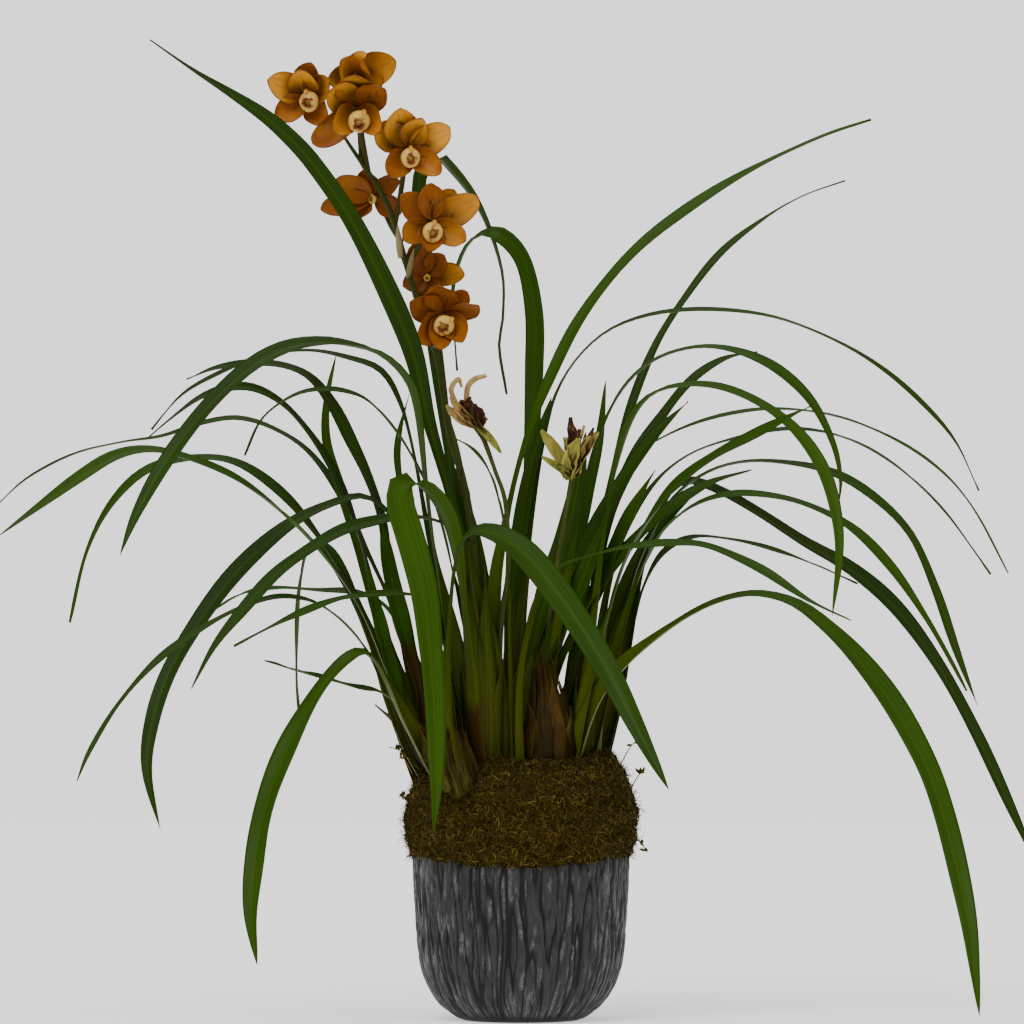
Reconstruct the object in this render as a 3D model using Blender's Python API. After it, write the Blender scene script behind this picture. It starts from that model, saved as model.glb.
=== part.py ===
"""A potted orchid: dark ridged pot, moss, shoots, long arching leaves and one flower spike.

Metres, +Z up.  The origin is the centre of the pot's underside, and the plant
is seen from -Y with +X to the right.
"""
import bpy
import math
from mathutils import Vector

CM = 0.01
GAP = 0.0004                 # clear space left between touching pieces

POT_SIDES = 36
POT_WALL = 0.005
POT_FLOOR = 0.007
POT_PROFILE = [(4.9, 0.0), (5.7, 0.35), (7.1, 1.5), (8.2, 3.4), (8.75, 5.6),
               (9.0, 9.0), (9.2, 12.5), (9.2, 15.0)]      # radius, height in cm
MIX_TOP = 0.144
MOSS_PROFILE = [(9.66, 15.4), (9.8, 17.4), (9.45, 19.5), (8.5, 20.7), (7.0, 21.3),
                (4.5, 21.6), (2.0, 21.7)]                 # radius, height in cm
MOSS_HANG = 0.136            # mean height of the moss's lower edge

EYE_DISTANCE = 483           # leaf routes are drawn as seen from here, in cm
EYE_HEIGHT = 30

LEAF_THICKNESS = 0.0018
LEAF_FOLD = 0.32             # rise of each edge over the keel, per half width
LEAF_STEPS = 13
LEAF_FOOT = 0.34             # width of the foot, as a share of the widest place
LEAF_TIP = 0.12              # and of the blunt tip
SHOOT_SIDES = 12
SHOOT_CAP = 0.5              # height in cm and taper of a shoot's rounded top
SHOOT_CAP_TAPER = 0.6
SPIKE_STEPS = 24
WITHERED_STEPS = 18
STEM_SIDES = 8
PETAL_DEPTH = 0.2            # how far a flower's five points stand out
POCKET_BELOW = 1.2           # how far a shoot's pocket runs below it, in cm

POT_GREY = (0.05, 0.055, 0.062)
MIX_BROWN = (0.05, 0.03, 0.015)
MOSS_OLIVE = (0.10, 0.085, 0.03)
SHEATH_GREEN = (0.14, 0.17, 0.02)
SHEATH_BROWN = (0.10, 0.05, 0.02)
LEAF_GREEN = (0.045, 0.13, 0.012)
SPIKE_GREEN = (0.16, 0.20, 0.05)
PETAL_ORANGE = (0.55, 0.20, 0.04)
WITHERED_BROWN = (0.10, 0.035, 0.015)

# Each leaf: widest width in cm, turn of its face in degrees at foot, middle and
# tip (0 faces up, 90 faces the front), depth y in cm at foot, middle and tip,
# and its route seen from the front as (x, z) in cm from foot to tip.
LEAVES = {
    # front row
    "leaf_01": (2.4, (0, 10, 35), (-5.4, -9.5, -16), [
        (-9.4, 23.9), (-10.4, 25.9), (-11.5, 28.4), (-12.4, 30.2), (-13.5, 31), (-15, 30.2),
        (-17, 27.9), (-19, 24.5), (-20.8, 20.5), (-21.9, 17), (-22.5, 13.5), (-22.9, 9),
        (-22.4, 4.6)]),
    "leaf_02": (2.6, (0, 35, 60), (-5.3, -8.8, -14), [
        (-4.6, 26.6), (-4.8, 31), (-5.2, 37), (-6, 41.7), (-7.3, 44.2), (-8.9, 45.4),
        (-10.1, 45.2), (-10.3, 43.6), (-9.7, 41.5), (-9, 39), (-8.3, 36), (-7.9, 32.5),
        (-7.5, 28), (-7.3, 23.5), (-7.3, 19), (-7.5, 15.3)]),
    "leaf_03": (2.5, (0, 45, 50), (-7.2, -11, -19), [
        (-5.9, 26.4), (-6, 32), (-5.6, 38), (-4.5, 41), (-2.3, 41.1), (0, 39.7), (2, 37.5),
        (4, 34.8), (6, 31.8), (7.9, 28.5), (9.5, 25.3), (10.9, 22.5), (12.5, 19.4)]),
    "leaf_04": (2.5, (0, 20, 50), (-4.4, -12, -26), [
        (6.2, 25.8), (7, 27.5), (8.7, 29.7), (11, 31.8), (14, 34), (17, 35.4), (20, 35.9),
        (23.2, 35.1), (26, 33), (28.5, 30.5), (31, 27.3), (33, 24), (34.7, 20.5), (36, 16.5),
        (37.1, 12), (37.9, 8), (38.4, 4), (38.8, 0.2)]),
    "leaf_05": (1.1, (0, 30, 30), (-5.6, -11, -18.5), [
        (0.6, 32), (1.4, 35.3), (3, 38), (5, 39), (8, 39.8), (11, 40.2), (14, 40.3),
        (16, 40), (18.5, 39), (21, 37.7), (24.5, 35.4), (28, 33.8)]),
    # second row
    "leaf_06": (2.1, (40, 75, 30), (-2.6, -5.5, -9), [
        (-3.3, 33), (-4.4, 36.5), (-5.2, 40), (-6, 44), (-7, 47.5), (-8, 51), (-9.3, 56.6),
        (-11.5, 61.9), (-14.5, 67.8), (-17.8, 72.6), (-20, 75), (-22, 76.7), (-25, 78.7),
        (-28, 80.6), (-31.6, 83.2)]),
    "leaf_07": (2.5, (0, 15, 40), (-2.8, -8.5, -16.5), [
        (-5.6, 29), (-6.5, 34), (-7.5, 40), (-8.3, 46), (-9, 51.5), (-9.9, 54.2),
        (-12, 56.3), (-14.5, 57.1), (-17, 57.3), (-20, 56.8), (-23, 55.2), (-26, 52.5),
        (-28.6, 49.4), (-30.9, 46), (-32.8, 42.5), (-34.1, 39.3)]),
    "leaf_08": (1.0, (0, 20, 20), (0.4, 1.5, 2), [
        (-5.9, 29), (-6.9, 35), (-8.1, 42), (-9.3, 48.5), (-10.5, 52.6), (-12, 55),
        (-14.5, 56), (-18, 56.7), (-22, 56.2), (-26, 54.6), (-29, 52.8), (-31.4, 50)]),
    "leaf_09": (0.9, (0, 20, 20), (-1, -2.5, -9), [
        (-4.4, 31), (-5.6, 37), (-7, 42.6), (-8.3, 45.8), (-10.2, 49.2), (-12.5, 52),
        (-14.5, 53.1), (-17, 53.4), (-19.5, 52.8), (-22, 50.9), (-23.5, 47.8)]),
    "leaf_10": (1.1, (0, 25, 10), (-3.2, -7, -10.5), [
        (-6.3, 30.4), (-6.9, 33.6), (-8.3, 35.6), (-10.5, 36), (-13, 35.9), (-16, 35.4),
        (-20, 33.8), (-24.4, 31.6)]),
    "leaf_11": (1.1, (0, 20, 0), (-3, -4.5, -9), [
        (-9.4, 24.6), (-10.5, 26.6), (-12, 27.7), (-14, 28.1), (-16.5, 28.8), (-19, 29.5),
        (-21.8, 30.4)]),
    "leaf_12": (1.6, (0, 30, 30), (-1.5, -4, -12), [
        (-3.9, 32.6), (-4.4, 37.4), (-5.4, 40.9), (-7.2, 42.2), (-10, 42.5), (-13, 42),
        (-15.5, 41.2), (-18.5, 39.4), (-21, 37.5), (-23.6, 34.6), (-26, 31.6), (-28, 28)]),
    # third row
    "leaf_13": (1.8, (0, 20, 30), (1.2, 3, 6), [
        (-8.7, 27.5), (-9.6, 31), (-10.6, 34.5), (-11.4, 38.5), (-12, 42.5), (-13.2, 46),
        (-14.6, 49), (-16, 51.8), (-17.8, 54.2), (-20, 55.3), (-23, 55.6), (-26, 55.2),
        (-28.4, 54.3)]),
    "leaf_14": (1.6, (0, 25, 30), (2, 2.5, -1), [
        (-9.6, 26.8), (-11, 30.5), (-12.3, 35), (-13.4, 39.5), (-14.7, 43.4), (-16.2, 46.7),
        (-18.2, 49.8), (-20.3, 52.1), (-22.6, 53.4), (-24.8, 53.5), (-27.2, 52.7),
        (-29.5, 51.1), (-31.7, 49.3)]),
    "leaf_15": (1.8, (0, 20, 50), (-0.4, -4, -14), [
        (-9.7, 25.6), (-11.6, 30), (-13.8, 35), (-16.6, 39), (-20, 42.6), (-24, 45.6),
        (-28, 47.4), (-31.5, 48.2), (-34.5, 47.7), (-37.5, 45.9), (-41, 43.4), (-44.6, 40.8)]),
    "leaf_16": (1.6, (0, 25, 45), (3.6, 7, 7), [
        (-10.5, 26.4), (-12.4, 31.5), (-14.6, 36.6), (-17.4, 41), (-20.4, 44.5),
        (-24, 47), (-27.5, 47.5), (-31.5, 46.6), (-34.6, 43.8), (-36.8, 39.6), (-38.3, 33.6)]),
    "leaf_17": (1.1, (0, 20, 10), (5.4, 11, 17.5), [
        (-8.4, 28.4), (-10.5, 34), (-13, 39.4), (-15.4, 44.4), (-18, 48), (-21, 50),
        (-24, 50.9), (-27, 50.5), (-30.5, 49.4), (-34, 48.9), (-38, 47.9), (-42, 45.8),
        (-44.6, 43.5)]),
    "leaf_18": (1.0, (0, 20, 20), (-1.2, -6, -14), [
        (-10.6, 24.4), (-11.6, 27.8), (-13, 31), (-14.7, 33.2), (-16.6, 34.8),
        (-18.6, 35.6), (-21, 35.7), (-24, 34.7), (-27.5, 32.8), (-31, 30.2), (-34.2, 26.6),
        (-36.5, 22.9), (-37.7, 20.2)]),
    "leaf_19": (2.0, (0, 30, 50), (0.2, -0.5, -10.5), [
        (-7.4, 29.4), (-8.2, 34), (-9.5, 39), (-11.2, 42.7), (-13.4, 44.2), (-16, 43.6),
        (-19, 42.2), (-22, 39.9), (-25, 36.8), (-27.8, 32.9), (-30, 29), (-31.3, 25),
        (-31.7, 21), (-30.6, 16)]),
    # back rows
    "leaf_20": (1.0, (0, 20, 10), (8.2, 12.5, 15), [
        (-8.2, 27.6), (-9.6, 32), (-11.6, 35), (-14, 36.1), (-17, 36.3), (-20.5, 36.5),
        (-23.5, 36.1), (-26.2, 34.6)]),
    "leaf_21": (1.3, (0, 35, 60), (6.4, 9.5, 12), [
        (-10.8, 26.4), (-12.6, 31.5), (-14.6, 36.5), (-16.4, 39.6), (-17.9, 39.9),
        (-18.6, 37.5), (-18.9, 33.5), (-19, 29.5), (-18.8, 25.8)]),
    "leaf_22": (1.0, (0, 40, 50), (2.4, 6.5, 9), [
        (-11.2, 28.2), (-12.4, 34), (-13.8, 40), (-15.4, 45.2), (-16.5, 49), (-16.5, 52.5),
        (-15.7, 56.4)]),
    "leaf_23": (0.9, (0, 60, 60), (8.4, 12, 14), [
        (-6.9, 30), (-7.8, 35), (-9, 40), (-10.2, 45.5), (-10.4, 49), (-9.5, 53)]),
    "leaf_24": (1.5, (0, 35, 70), (7.2, 12, 16), [
        (-4.6, 32), (-5.2, 40), (-6.4, 50), (-7.9, 61), (-8.7, 68), (-8.6, 71.8),
        (-7.3, 73.3), (-5.8, 72), (-4, 69.6), (-2.6, 66.6), (-1.6, 63), (-1.6, 59.5),
        (-1.9, 57), (-1.2, 53)]),
    "leaf_25": (1.8, (0, 50, 50), (5.2, 12, 14), [
        (0, 32), (0.5, 40), (0.9, 48), (1.2, 55), (1.2, 60), (0.2, 64.5), (-2, 66.6),
        (-4.4, 65.8), (-5.7, 61.5), (-5.4, 55)]),
    # right hand side, tall ones first
    "leaf_26": (1.4, (0, 35, 20), (-0.4, 2.5, 7), [
        (-2.3, 33), (-2.1, 37.4), (-1.4, 41.4), (-0.4, 46), (0.8, 50), (2.2, 53.6),
        (4.6, 58.6), (7.4, 62.6), (10.4, 65.8), (14, 68.6), (18, 71.2), (22, 73.3),
        (26, 75.1), (29.8, 76.4)]),
    "leaf_27": (1.2, (0, 10, 45), (3.2, 6, 9), [
        (-0.2, 34), (0.4, 39), (1.1, 44), (1.9, 49), (3.2, 53.4), (5.2, 56.5), (8, 58.7),
        (12, 59.9), (17, 60.1), (22, 59.4), (27, 57.4), (31, 54.9), (34.5, 51.8),
        (37, 48.8), (38.9, 44.8)]),
    "leaf_28": (0.9, (0, 30, 10), (6.4, 12, 19), [
        (4.6, 32), (6, 39), (7.6, 45.5), (9.4, 52), (11.5, 57.2), (14, 61.2), (17, 65),
        (20.5, 67.8), (24, 69.9), (27.6, 71.2)]),
    "leaf_29": (1.0, (0, 60, 60), (3.4, 5, 6), [
        (3.2, 32.4), (4.4, 38), (5.6, 44), (6.6, 49), (7.2, 54.2)]),
    "leaf_30": (1.4, (0, 15, 60), (-1.4, -3, -9), [
        (3.3, 33), (4.4, 39.5), (5.7, 46), (7.3, 51), (9.3, 54.2), (12, 56.2), (15.5, 57),
        (19, 56.4), (22, 54.9), (24.6, 52.4), (26.4, 49), (27.1, 46), (27, 43.8)]),
    "leaf_31": (1.6, (0, 30, 20), (1.2, 2.5, 5), [
        (5.3, 31), (6.3, 37), (7.8, 43), (9.8, 47.6), (12.2, 51.3), (14.6, 54.2),
        (17.3, 56), (20.1, 56.6)]),
    "leaf_32": (1.5, (0, 15, 70), (-1.8, -5.5, -14), [
        (6.2, 32), (7, 40), (8, 46.5), (9.3, 50.6), (11.2, 53), (14, 53.7), (17, 53.5),
        (20.2, 52.2), (23.2, 50), (25.4, 47), (26.6, 43.5), (27, 39.5), (26.4, 34.2)]),
    "leaf_33": (1.9, (0, 40, 50), (-3.8, -7, -16), [
        (6.3, 29.4), (7.4, 34), (8.8, 38.6), (10.7, 42), (13.2, 45.2), (16.5, 47.7),
        (20, 49.6), (24.6, 52)]),
    "leaf_34": (0.9, (0, 10, 20), (3.8, 7, 10.5), [
        (5.9, 31.6), (6.6, 38), (7.8, 44), (9.6, 47.6), (12.6, 49.6), (16.5, 51),
        (21, 51.7), (25.5, 51.4), (30, 50), (34.5, 47.4), (38, 43.9), (41.4, 37.8)]),
    "leaf_35": (0.9, (0, 10, 20), (6.4, 11.5, 17.5), [
        (6.5, 30.8), (7.3, 36), (8.8, 41), (11.2, 45.2), (14.4, 47.9), (18.5, 49.3),
        (23, 50), (27.5, 49.3), (32, 46.8), (36, 43), (39.9, 37.7)]),
    "leaf_36": (1.6, (0, 15, 50), (0.4, 0, -7), [
        (7.4, 28.8), (8.6, 34), (10.4, 39.6), (12.8, 43.9), (15.6, 46.2), (18.8, 47.2),
        (22.5, 47.1), (26.5, 46.2), (30, 44.1), (33, 41), (35.1, 36.4), (36.9, 31.2),
        (38.7, 26.6)]),
    "leaf_37": (1.4, (0, 20, 40), (-1.9, -4.5, -10.5), [
        (7.3, 27.2), (8.4, 32), (9.8, 36.8), (11.6, 40.7), (14, 43.1), (17, 44.3),
        (20.2, 44.4), (24, 43.6), (28, 41.6), (31.4, 38.2), (34.3, 34), (36.4, 30.4),
        (37.8, 27.8)]),
    "leaf_38": (2.1, (0, 30, 40), (3, 1.5, -3.5), [
        (8.2, 27.4), (9.3, 33), (10.6, 39), (12.1, 43.6), (14, 45.5), (16.8, 44.7),
        (20, 42.9), (24, 40.3), (28, 38), (31.8, 34.7), (35.4, 29.8), (38.6, 24),
        (41.6, 17.6), (44.4, 11.6)]),
    "leaf_39": (0.9, (0, 20, 20), (5.4, 7.5, 10.5), [
        (8.6, 28.4), (9.4, 33), (10.6, 37), (12.2, 39.6), (14.5, 40.8), (17.5, 40.7),
        (21, 39.9), (25, 38.5), (28.6, 36.9)]),
    "leaf_40": (0.7, (0, 50, 50), (-4.2, -7, -10.5), [
        (-1.1, 34), (-1.1, 38), (-1.5, 42), (-2.4, 45.6), (-3.4, 47.5), (-4.6, 48.7),
        (-5.8, 49.3)]),
}

# Each shoot: colour, then its sections from the potting mix up, as
# (x, y, z, half width, half depth) in cm.
SHOOTS = {
    "shoot_front_left": (SHEATH_BROWN, [
        (-5.2, -4.6, 14.9, 1.3, 1.0), (-5.9, -5.3, 19, 2.0, 1.4), (-6.4, -5.3, 22.5, 2.3, 1.6),
        (-6.6, -5.1, 25.6, 1.8, 1.2)]),
    "shoot_middle_left": (SHEATH_GREEN, [
        (-3.0, -1.6, 14.9, 1.0, 1.0), (-3.1, -1.8, 20, 1.4, 1.2), (-3.2, -2.1, 26, 1.4, 1.2),
        (-3.4, -2.2, 32, 0.9, 0.8)]),
    "shoot_middle": (SHEATH_GREEN, [
        (-0.4, 1.8, 14.9, 1.2, 1.2), (-0.4, 2.0, 20, 1.5, 1.5), (0.2, 2.1, 26, 1.8, 1.5),
        (0.9, 2.4, 31.4, 1.5, 1.2)]),
    "shoot_old": (SHEATH_BROWN, [
        (2.4, -2.8, 14.9, 1.4, 1.3), (2.5, -2.9, 19, 2.0, 1.6), (2.5, -2.9, 24, 2.1, 1.6),
        (2.1, -2.8, 28, 1.3, 1.0), (1.7, -2.8, 31, 0.5, 0.4)]),
    "shoot_right": (SHEATH_GREEN, [
        (5.2, -0.4, 14.9, 1.0, 1.0), (5.4, -0.5, 20, 1.1, 1.1), (5.6, -0.6, 24, 1.1, 1.1),
        (6.1, -0.8, 27.4, 0.8, 0.8)]),
    "shoot_back_left": (SHEATH_BROWN, [
        (-5.8, 2.4, 14.9, 1.3, 2.0), (-6.4, 2.6, 19, 1.5, 2.3), (-7.6, 2.8, 22.5, 1.7, 2.7),
        (-9.0, 3.0, 25.2, 1.5, 2.4)]),
    "shoot_back_right": (SHEATH_GREEN, [
        (4.6, 4.4, 14.9, 1.2, 1.5), (5.0, 4.6, 20, 1.5, 1.8), (5.4, 4.8, 25, 1.6, 1.9),
        (6.0, 5.0, 29.6, 1.2, 1.6)]),
}

# Stem routes as (x, y, z) in cm with the radius in cm at each point.
SPIKE_ROUTE = [
    (-3.0, 0.6, 14.9, 0.40), (-3.3, 0.3, 24, 0.38), (-3.6, 0.2, 32, 0.36),
    (-4.0, 0.2, 40, 0.35), (-4.9, 0.2, 45.5, 0.34), (-6.1, 0.3, 50, 0.33),
    (-7.2, 0.3, 56.5, 0.31), (-9.3, 0.4, 62.5, 0.28), (-10.9, 0.5, 68, 0.26),
    (-13.2, 0.7, 72.2, 0.22), (-14.9, 0.8, 74.3, 0.18), (-16.2, 0.6, 75.6, 0.14)]
WITHERED_ROUTES = {
    "withered_flower_left": [
        (-1.7, -1.0, 33.6, 0.22), (-1.1, -2.6, 38, 0.20), (-1.3, -3.4, 43.5, 0.18),
        (-2.2, -3.6, 46.4, 0.18), (-3.4, -3.7, 49.2, 0.20), (-3.9, -3.7, 50.6, 0.75),
        (-4.4, -3.7, 52.2, 1.15), (-4.6, -3.7, 53.6, 0.7), (-4.4, -3.7, 54.4, 0.2)],
    "withered_flower_right": [
        (2.4, 0.4, 33.0, 0.22), (3.0, -1.4, 38, 0.20), (3.8, -3.0, 43, 0.18),
        (4.2, -3.3, 45.6, 0.24), (4.3, -3.4, 47, 0.9), (4.3, -3.4, 48.6, 1.5),
        (4.6, -3.4, 49.9, 1.1), (4.8, -3.4, 50.6, 0.3)],
}

# Each flower: centre (x, y, z) in cm, radius in cm, and the way it faces.
FLOWERS = {
    "flower_1": ((-18.2, -2.4, 78.0), 3.0, (-0.5, -1.0, -0.1)),
    "flower_2": ((-13.4, 0.6, 78.6), 3.2, (0.1, -1.0, -0.1)),
    "flower_3": ((-9.2, -2.4, 73.8), 3.1, (0.5, -1.0, -0.1)),
    "flower_4": ((-15.4, 1.6, 70.2), 2.6, (-1.0, -0.2, 0.0)),
    "flower_5": ((-6.8, -1.8, 67.9), 3.0, (0.5, -1.0, -0.1)),
    "flower_6": ((-7.9, 2.6, 63.2), 2.4, (0.5, 1.0, 0.0)),
    "flower_7": ((-5.4, -1.9, 60.0), 3.1, (0.5, -1.0, -0.1)),
}


def make_material(name, colour, roughness):
    material = bpy.data.materials.new(name)
    material.use_nodes = True
    shader = material.node_tree.nodes["Principled BSDF"]
    shader.inputs["Base Color"].default_value = (*colour, 1.0)
    shader.inputs["Roughness"].default_value = roughness
    shader.inputs["Metallic"].default_value = 0.0
    return material


def add_object(name, vertices, faces, colour, roughness=0.6):
    mesh = bpy.data.meshes.new(name)
    mesh.from_pydata([tuple(v) for v in vertices], [], faces)
    mesh.shade_smooth()
    mesh.set_sharp_from_angle(angle=math.radians(40))
    mesh.materials.append(make_material(name, colour, roughness))
    thing = bpy.data.objects.new(name, mesh)
    bpy.context.scene.collection.objects.link(thing)
    return thing


def loft(rings):
    """Vertices and faces of a skin over rings of equal size, with flat ends."""
    sides = len(rings[0])
    vertices = [point for ring in rings for point in ring]
    faces = []
    for low in range(len(rings) - 1):
        for i in range(sides):
            j = (i + 1) % sides
            a = low * sides
            b = a + sides
            faces.append((a + i, a + j, b + j, b + i))
    top = (len(rings) - 1) * sides
    faces.append(tuple(reversed(range(sides))))
    faces.append(tuple(range(top, top + sides)))
    return vertices, faces


def smooth_route(points, steps):
    """Evenly spaced points on a smooth curve through the given vectors."""
    dense = []
    ends = [2 * points[0] - points[1], *points, 2 * points[-1] - points[-2]]
    for k in range(1, len(ends) - 2):
        p0, p1, p2, p3 = ends[k - 1:k + 3]
        for i in range(12):
            t = i / 12
            dense.append(0.5 * (2 * p1 + (p2 - p0) * t + (2 * p0 - 5 * p1 + 4 * p2 - p3) * t * t
                                + (3 * p1 - p0 - 3 * p2 + p3) * t ** 3))
    dense.append(points[-1])
    lengths = [0.0]
    for a, b in zip(dense, dense[1:]):
        lengths.append(lengths[-1] + (b - a).length)
    route = []
    k = 0
    for i in range(steps + 1):
        wanted = lengths[-1] * i / steps
        while k < len(dense) - 2 and lengths[k + 1] < wanted:
            k += 1
        share = (wanted - lengths[k]) / max(lengths[k + 1] - lengths[k], 1e-9)
        route.append(dense[k].lerp(dense[k + 1], min(share, 1.0)))
    return route


def through_three(values, u):
    """Smooth value at u on the curve through the values at 0, 0.5 and 1."""
    a, b, c = values
    return a * (1 - u) * (1 - 2 * u) + 4 * b * u * (1 - u) + c * u * (2 * u - 1)


def leaf_width(u, widest):
    rise = min(u / 0.5, 1.0)
    rise = rise * rise * (3 - 2 * rise)
    taper = (1 - u ** 5) ** 0.8
    return widest * (LEAF_FOOT + (1 - LEAF_FOOT) * rise) * max(taper, LEAF_TIP)


def leaf_frame(route, k):
    """Direction, sideways and upper-face vectors of an unturned leaf at a point."""
    before = route[max(k - 1, 0)]
    after = route[min(k + 1, len(route) - 1)]
    along = (after - before).normalized()
    heading = Vector((route[-1].x - route[0].x, route[-1].y - route[0].y, 0)).normalized()
    sideways = Vector((heading.y, -heading.x, 0))
    if sideways.y > 0:
        sideways.negate()
    upper = along.cross(sideways)
    if heading.cross(sideways).z < 0:
        upper.negate()
    return along, sideways, upper.normalized()


def blade_faces(count):
    """Triangles over a leaf's rings of four points, edge, keel, edge, keel.

    Upper and lower face are split along the same diagonal, from an edge to the
    next ring's keel, so that a twisted blade keeps its thickness.
    """
    faces = [(3, 2, 1), (3, 1, 0)]
    for low in range(0, 4 * (count - 1), 4):
        high = low + 4
        for edge in (0, 2):
            lower = edge + 1
            upper = (edge + 3) % 4
            faces += [(low + edge, low + lower, high + lower), (low + edge, high + lower, high + edge)]
            faces += [(low + upper, low + edge, high + upper), (low + edge, high + edge, high + upper)]
    last = 4 * (count - 1)
    faces += [(last, last + 1, last + 3), (last + 1, last + 2, last + 3)]
    return faces


def at_depth(point, depth):
    """The place at a depth that looks, from the eye, to be where the point is."""
    open_out = 1 + depth / EYE_DISTANCE
    height = EYE_HEIGHT + (point.z - EYE_HEIGHT) * open_out
    return Vector((point.x * open_out, depth, height)) * CM


def make_leaf(name, widest, turns, depths, outline):
    flat = smooth_route([Vector((x, 0, z)) for x, z in outline], LEAF_STEPS)
    route = [at_depth(p, through_three(depths, k / LEAF_STEPS)) for k, p in enumerate(flat)]
    points = []
    for k, centre in enumerate(route):
        u = k / LEAF_STEPS
        along, sideways, upper = leaf_frame(route, k)
        turn = math.radians(through_three(turns, u))
        face = upper * math.cos(turn) + sideways * math.sin(turn)
        face = (face - along * face.dot(along)).normalized()
        across = face.cross(along)
        half = leaf_width(u, widest * CM) / 2
        lift = face * (half * LEAF_FOLD)
        keel = face * (LEAF_THICKNESS / 2)
        points += [centre - across * half + lift, centre - keel,
                   centre + across * half + lift, centre + keel]
    add_object(name, points, blade_faces(len(route)), LEAF_GREEN, 0.4)


def ellipse(x, y, z, half_width, half_depth, grow=0.0):
    points = []
    for i in range(SHOOT_SIDES):
        angle = 2 * math.pi * i / SHOOT_SIDES
        points.append(Vector(((x + (half_width + grow) * math.cos(angle)) * CM,
                              (y + (half_depth + grow) * math.sin(angle)) * CM, z * CM)))
    return points


def make_shoot(name, colour, sections):
    rings = [ellipse(*section) for section in sections]
    x, y, z, half_width, half_depth = sections[-1]
    rings.append(ellipse(x, y, z + SHOOT_CAP, half_width * SHOOT_CAP_TAPER, half_depth * SHOOT_CAP_TAPER))
    add_object(name, *loft(rings), colour, 0.6)


def make_stem(name, stops, steps, colour):
    """A round stem whose radius follows its stops."""
    centres = smooth_route([Vector(stop[:3]) for stop in stops], steps)
    radii = smooth_route([Vector((stop[2], 0, stop[3])) for stop in stops], steps * 4)
    rings = []
    for k, centre in enumerate(centres):
        before = centres[max(k - 1, 0)]
        after = centres[min(k + 1, steps)]
        along = (after - before).normalized()
        across = along.cross(Vector((0, 1, 0))).normalized()
        upward = across.cross(along)
        radius = min(radii, key=lambda stop: abs(stop.x - centre.z)).z
        ring = []
        for i in range(STEM_SIDES):
            angle = -2 * math.pi * i / STEM_SIDES
            ring.append((centre + (across * math.cos(angle) + upward * math.sin(angle)) * radius) * CM)
        rings.append(ring)
    add_object(name, *loft(rings), colour, 0.6)


def make_flower(name, centre, radius, faces_to):
    """A cupped five-pointed star with a raised middle, as one solid."""
    forward = Vector(faces_to).normalized()
    right = forward.cross(Vector((0, 0, 1))).normalized()
    up = right.cross(forward)
    sides = 15
    stations = [(0.10, -0.55, 0.0), (0.42, -0.38, 0.3), (0.80, -0.08, 1.0), (0.82, 0.02, 1.0),
                (0.45, -0.18, 0.3), (0.24, 0.08, 0.0), (0.12, 0.16, 0.0)]
    rings = []
    for reach, ahead, star in stations:
        ring = []
        for i in range(sides):
            angle = 2 * math.pi * i / sides
            spread = reach * (1 + PETAL_DEPTH * star * math.cos(5 * angle))
            flat = right * math.sin(angle) + up * math.cos(angle)
            ring.append((Vector(centre) + (flat * spread + forward * ahead) * radius) * CM)
        rings.append(ring)
    add_object(name, *loft(rings), PETAL_ORANGE, 0.5)


def revolve(profile, sides, wobble=None):
    """Rings of a turned profile given as (radius, height) in metres."""
    rings = []
    for k, (radius, height) in enumerate(profile):
        ring = []
        for i in range(sides):
            angle = 2 * math.pi * i / sides
            dr, dz = wobble(k, angle) if wobble else (0, 0)
            ring.append(Vector(((radius + dr) * math.cos(angle),
                                (radius + dr) * math.sin(angle), height + dz)))
        rings.append(ring)
    return rings


def make_pot():
    outside = [(radius * CM, height * CM) for radius, height in POT_PROFILE]
    rim_radius, rim_height = outside[-1]
    inside = [(rim_radius - POT_WALL, rim_height)]
    for radius, height in reversed(outside[2:-1]):
        inside.append((radius - POT_WALL, height + POT_WALL / 3))
    inside.append((outside[1][0] - POT_WALL, POT_FLOOR))
    rings = revolve(outside + inside, POT_SIDES)
    add_object("pot", *loft(rings), POT_GREY, 0.35)


def make_mix():
    fill = [(POT_PROFILE[1][0] * CM - POT_WALL - GAP, POT_FLOOR + GAP)]
    for radius, height in POT_PROFILE[2:-1]:
        fill.append((radius * CM - POT_WALL - GAP, height * CM + POT_WALL / 3 + GAP))
    fill.append((POT_PROFILE[-1][0] * CM - POT_WALL - GAP, MIX_TOP))
    add_object("potting_mix", *loft(revolve(fill, POT_SIDES)), MIX_BROWN, 0.9)


def moss_wobble(ring, angle):
    """Uneven sides, and a lower edge that hangs lowest at the front."""
    lump = 0.0012 * math.sin(3 * angle + ring) + 0.0010 * math.sin(7 * angle + 2 * ring)
    return lump, 0.6 * lump


def moss_edge(ring, angle):
    front = max(0.0, -math.sin(angle)) ** 4
    return 0.0, 0.0025 * math.sin(5 * angle) - 0.005 * front


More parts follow.
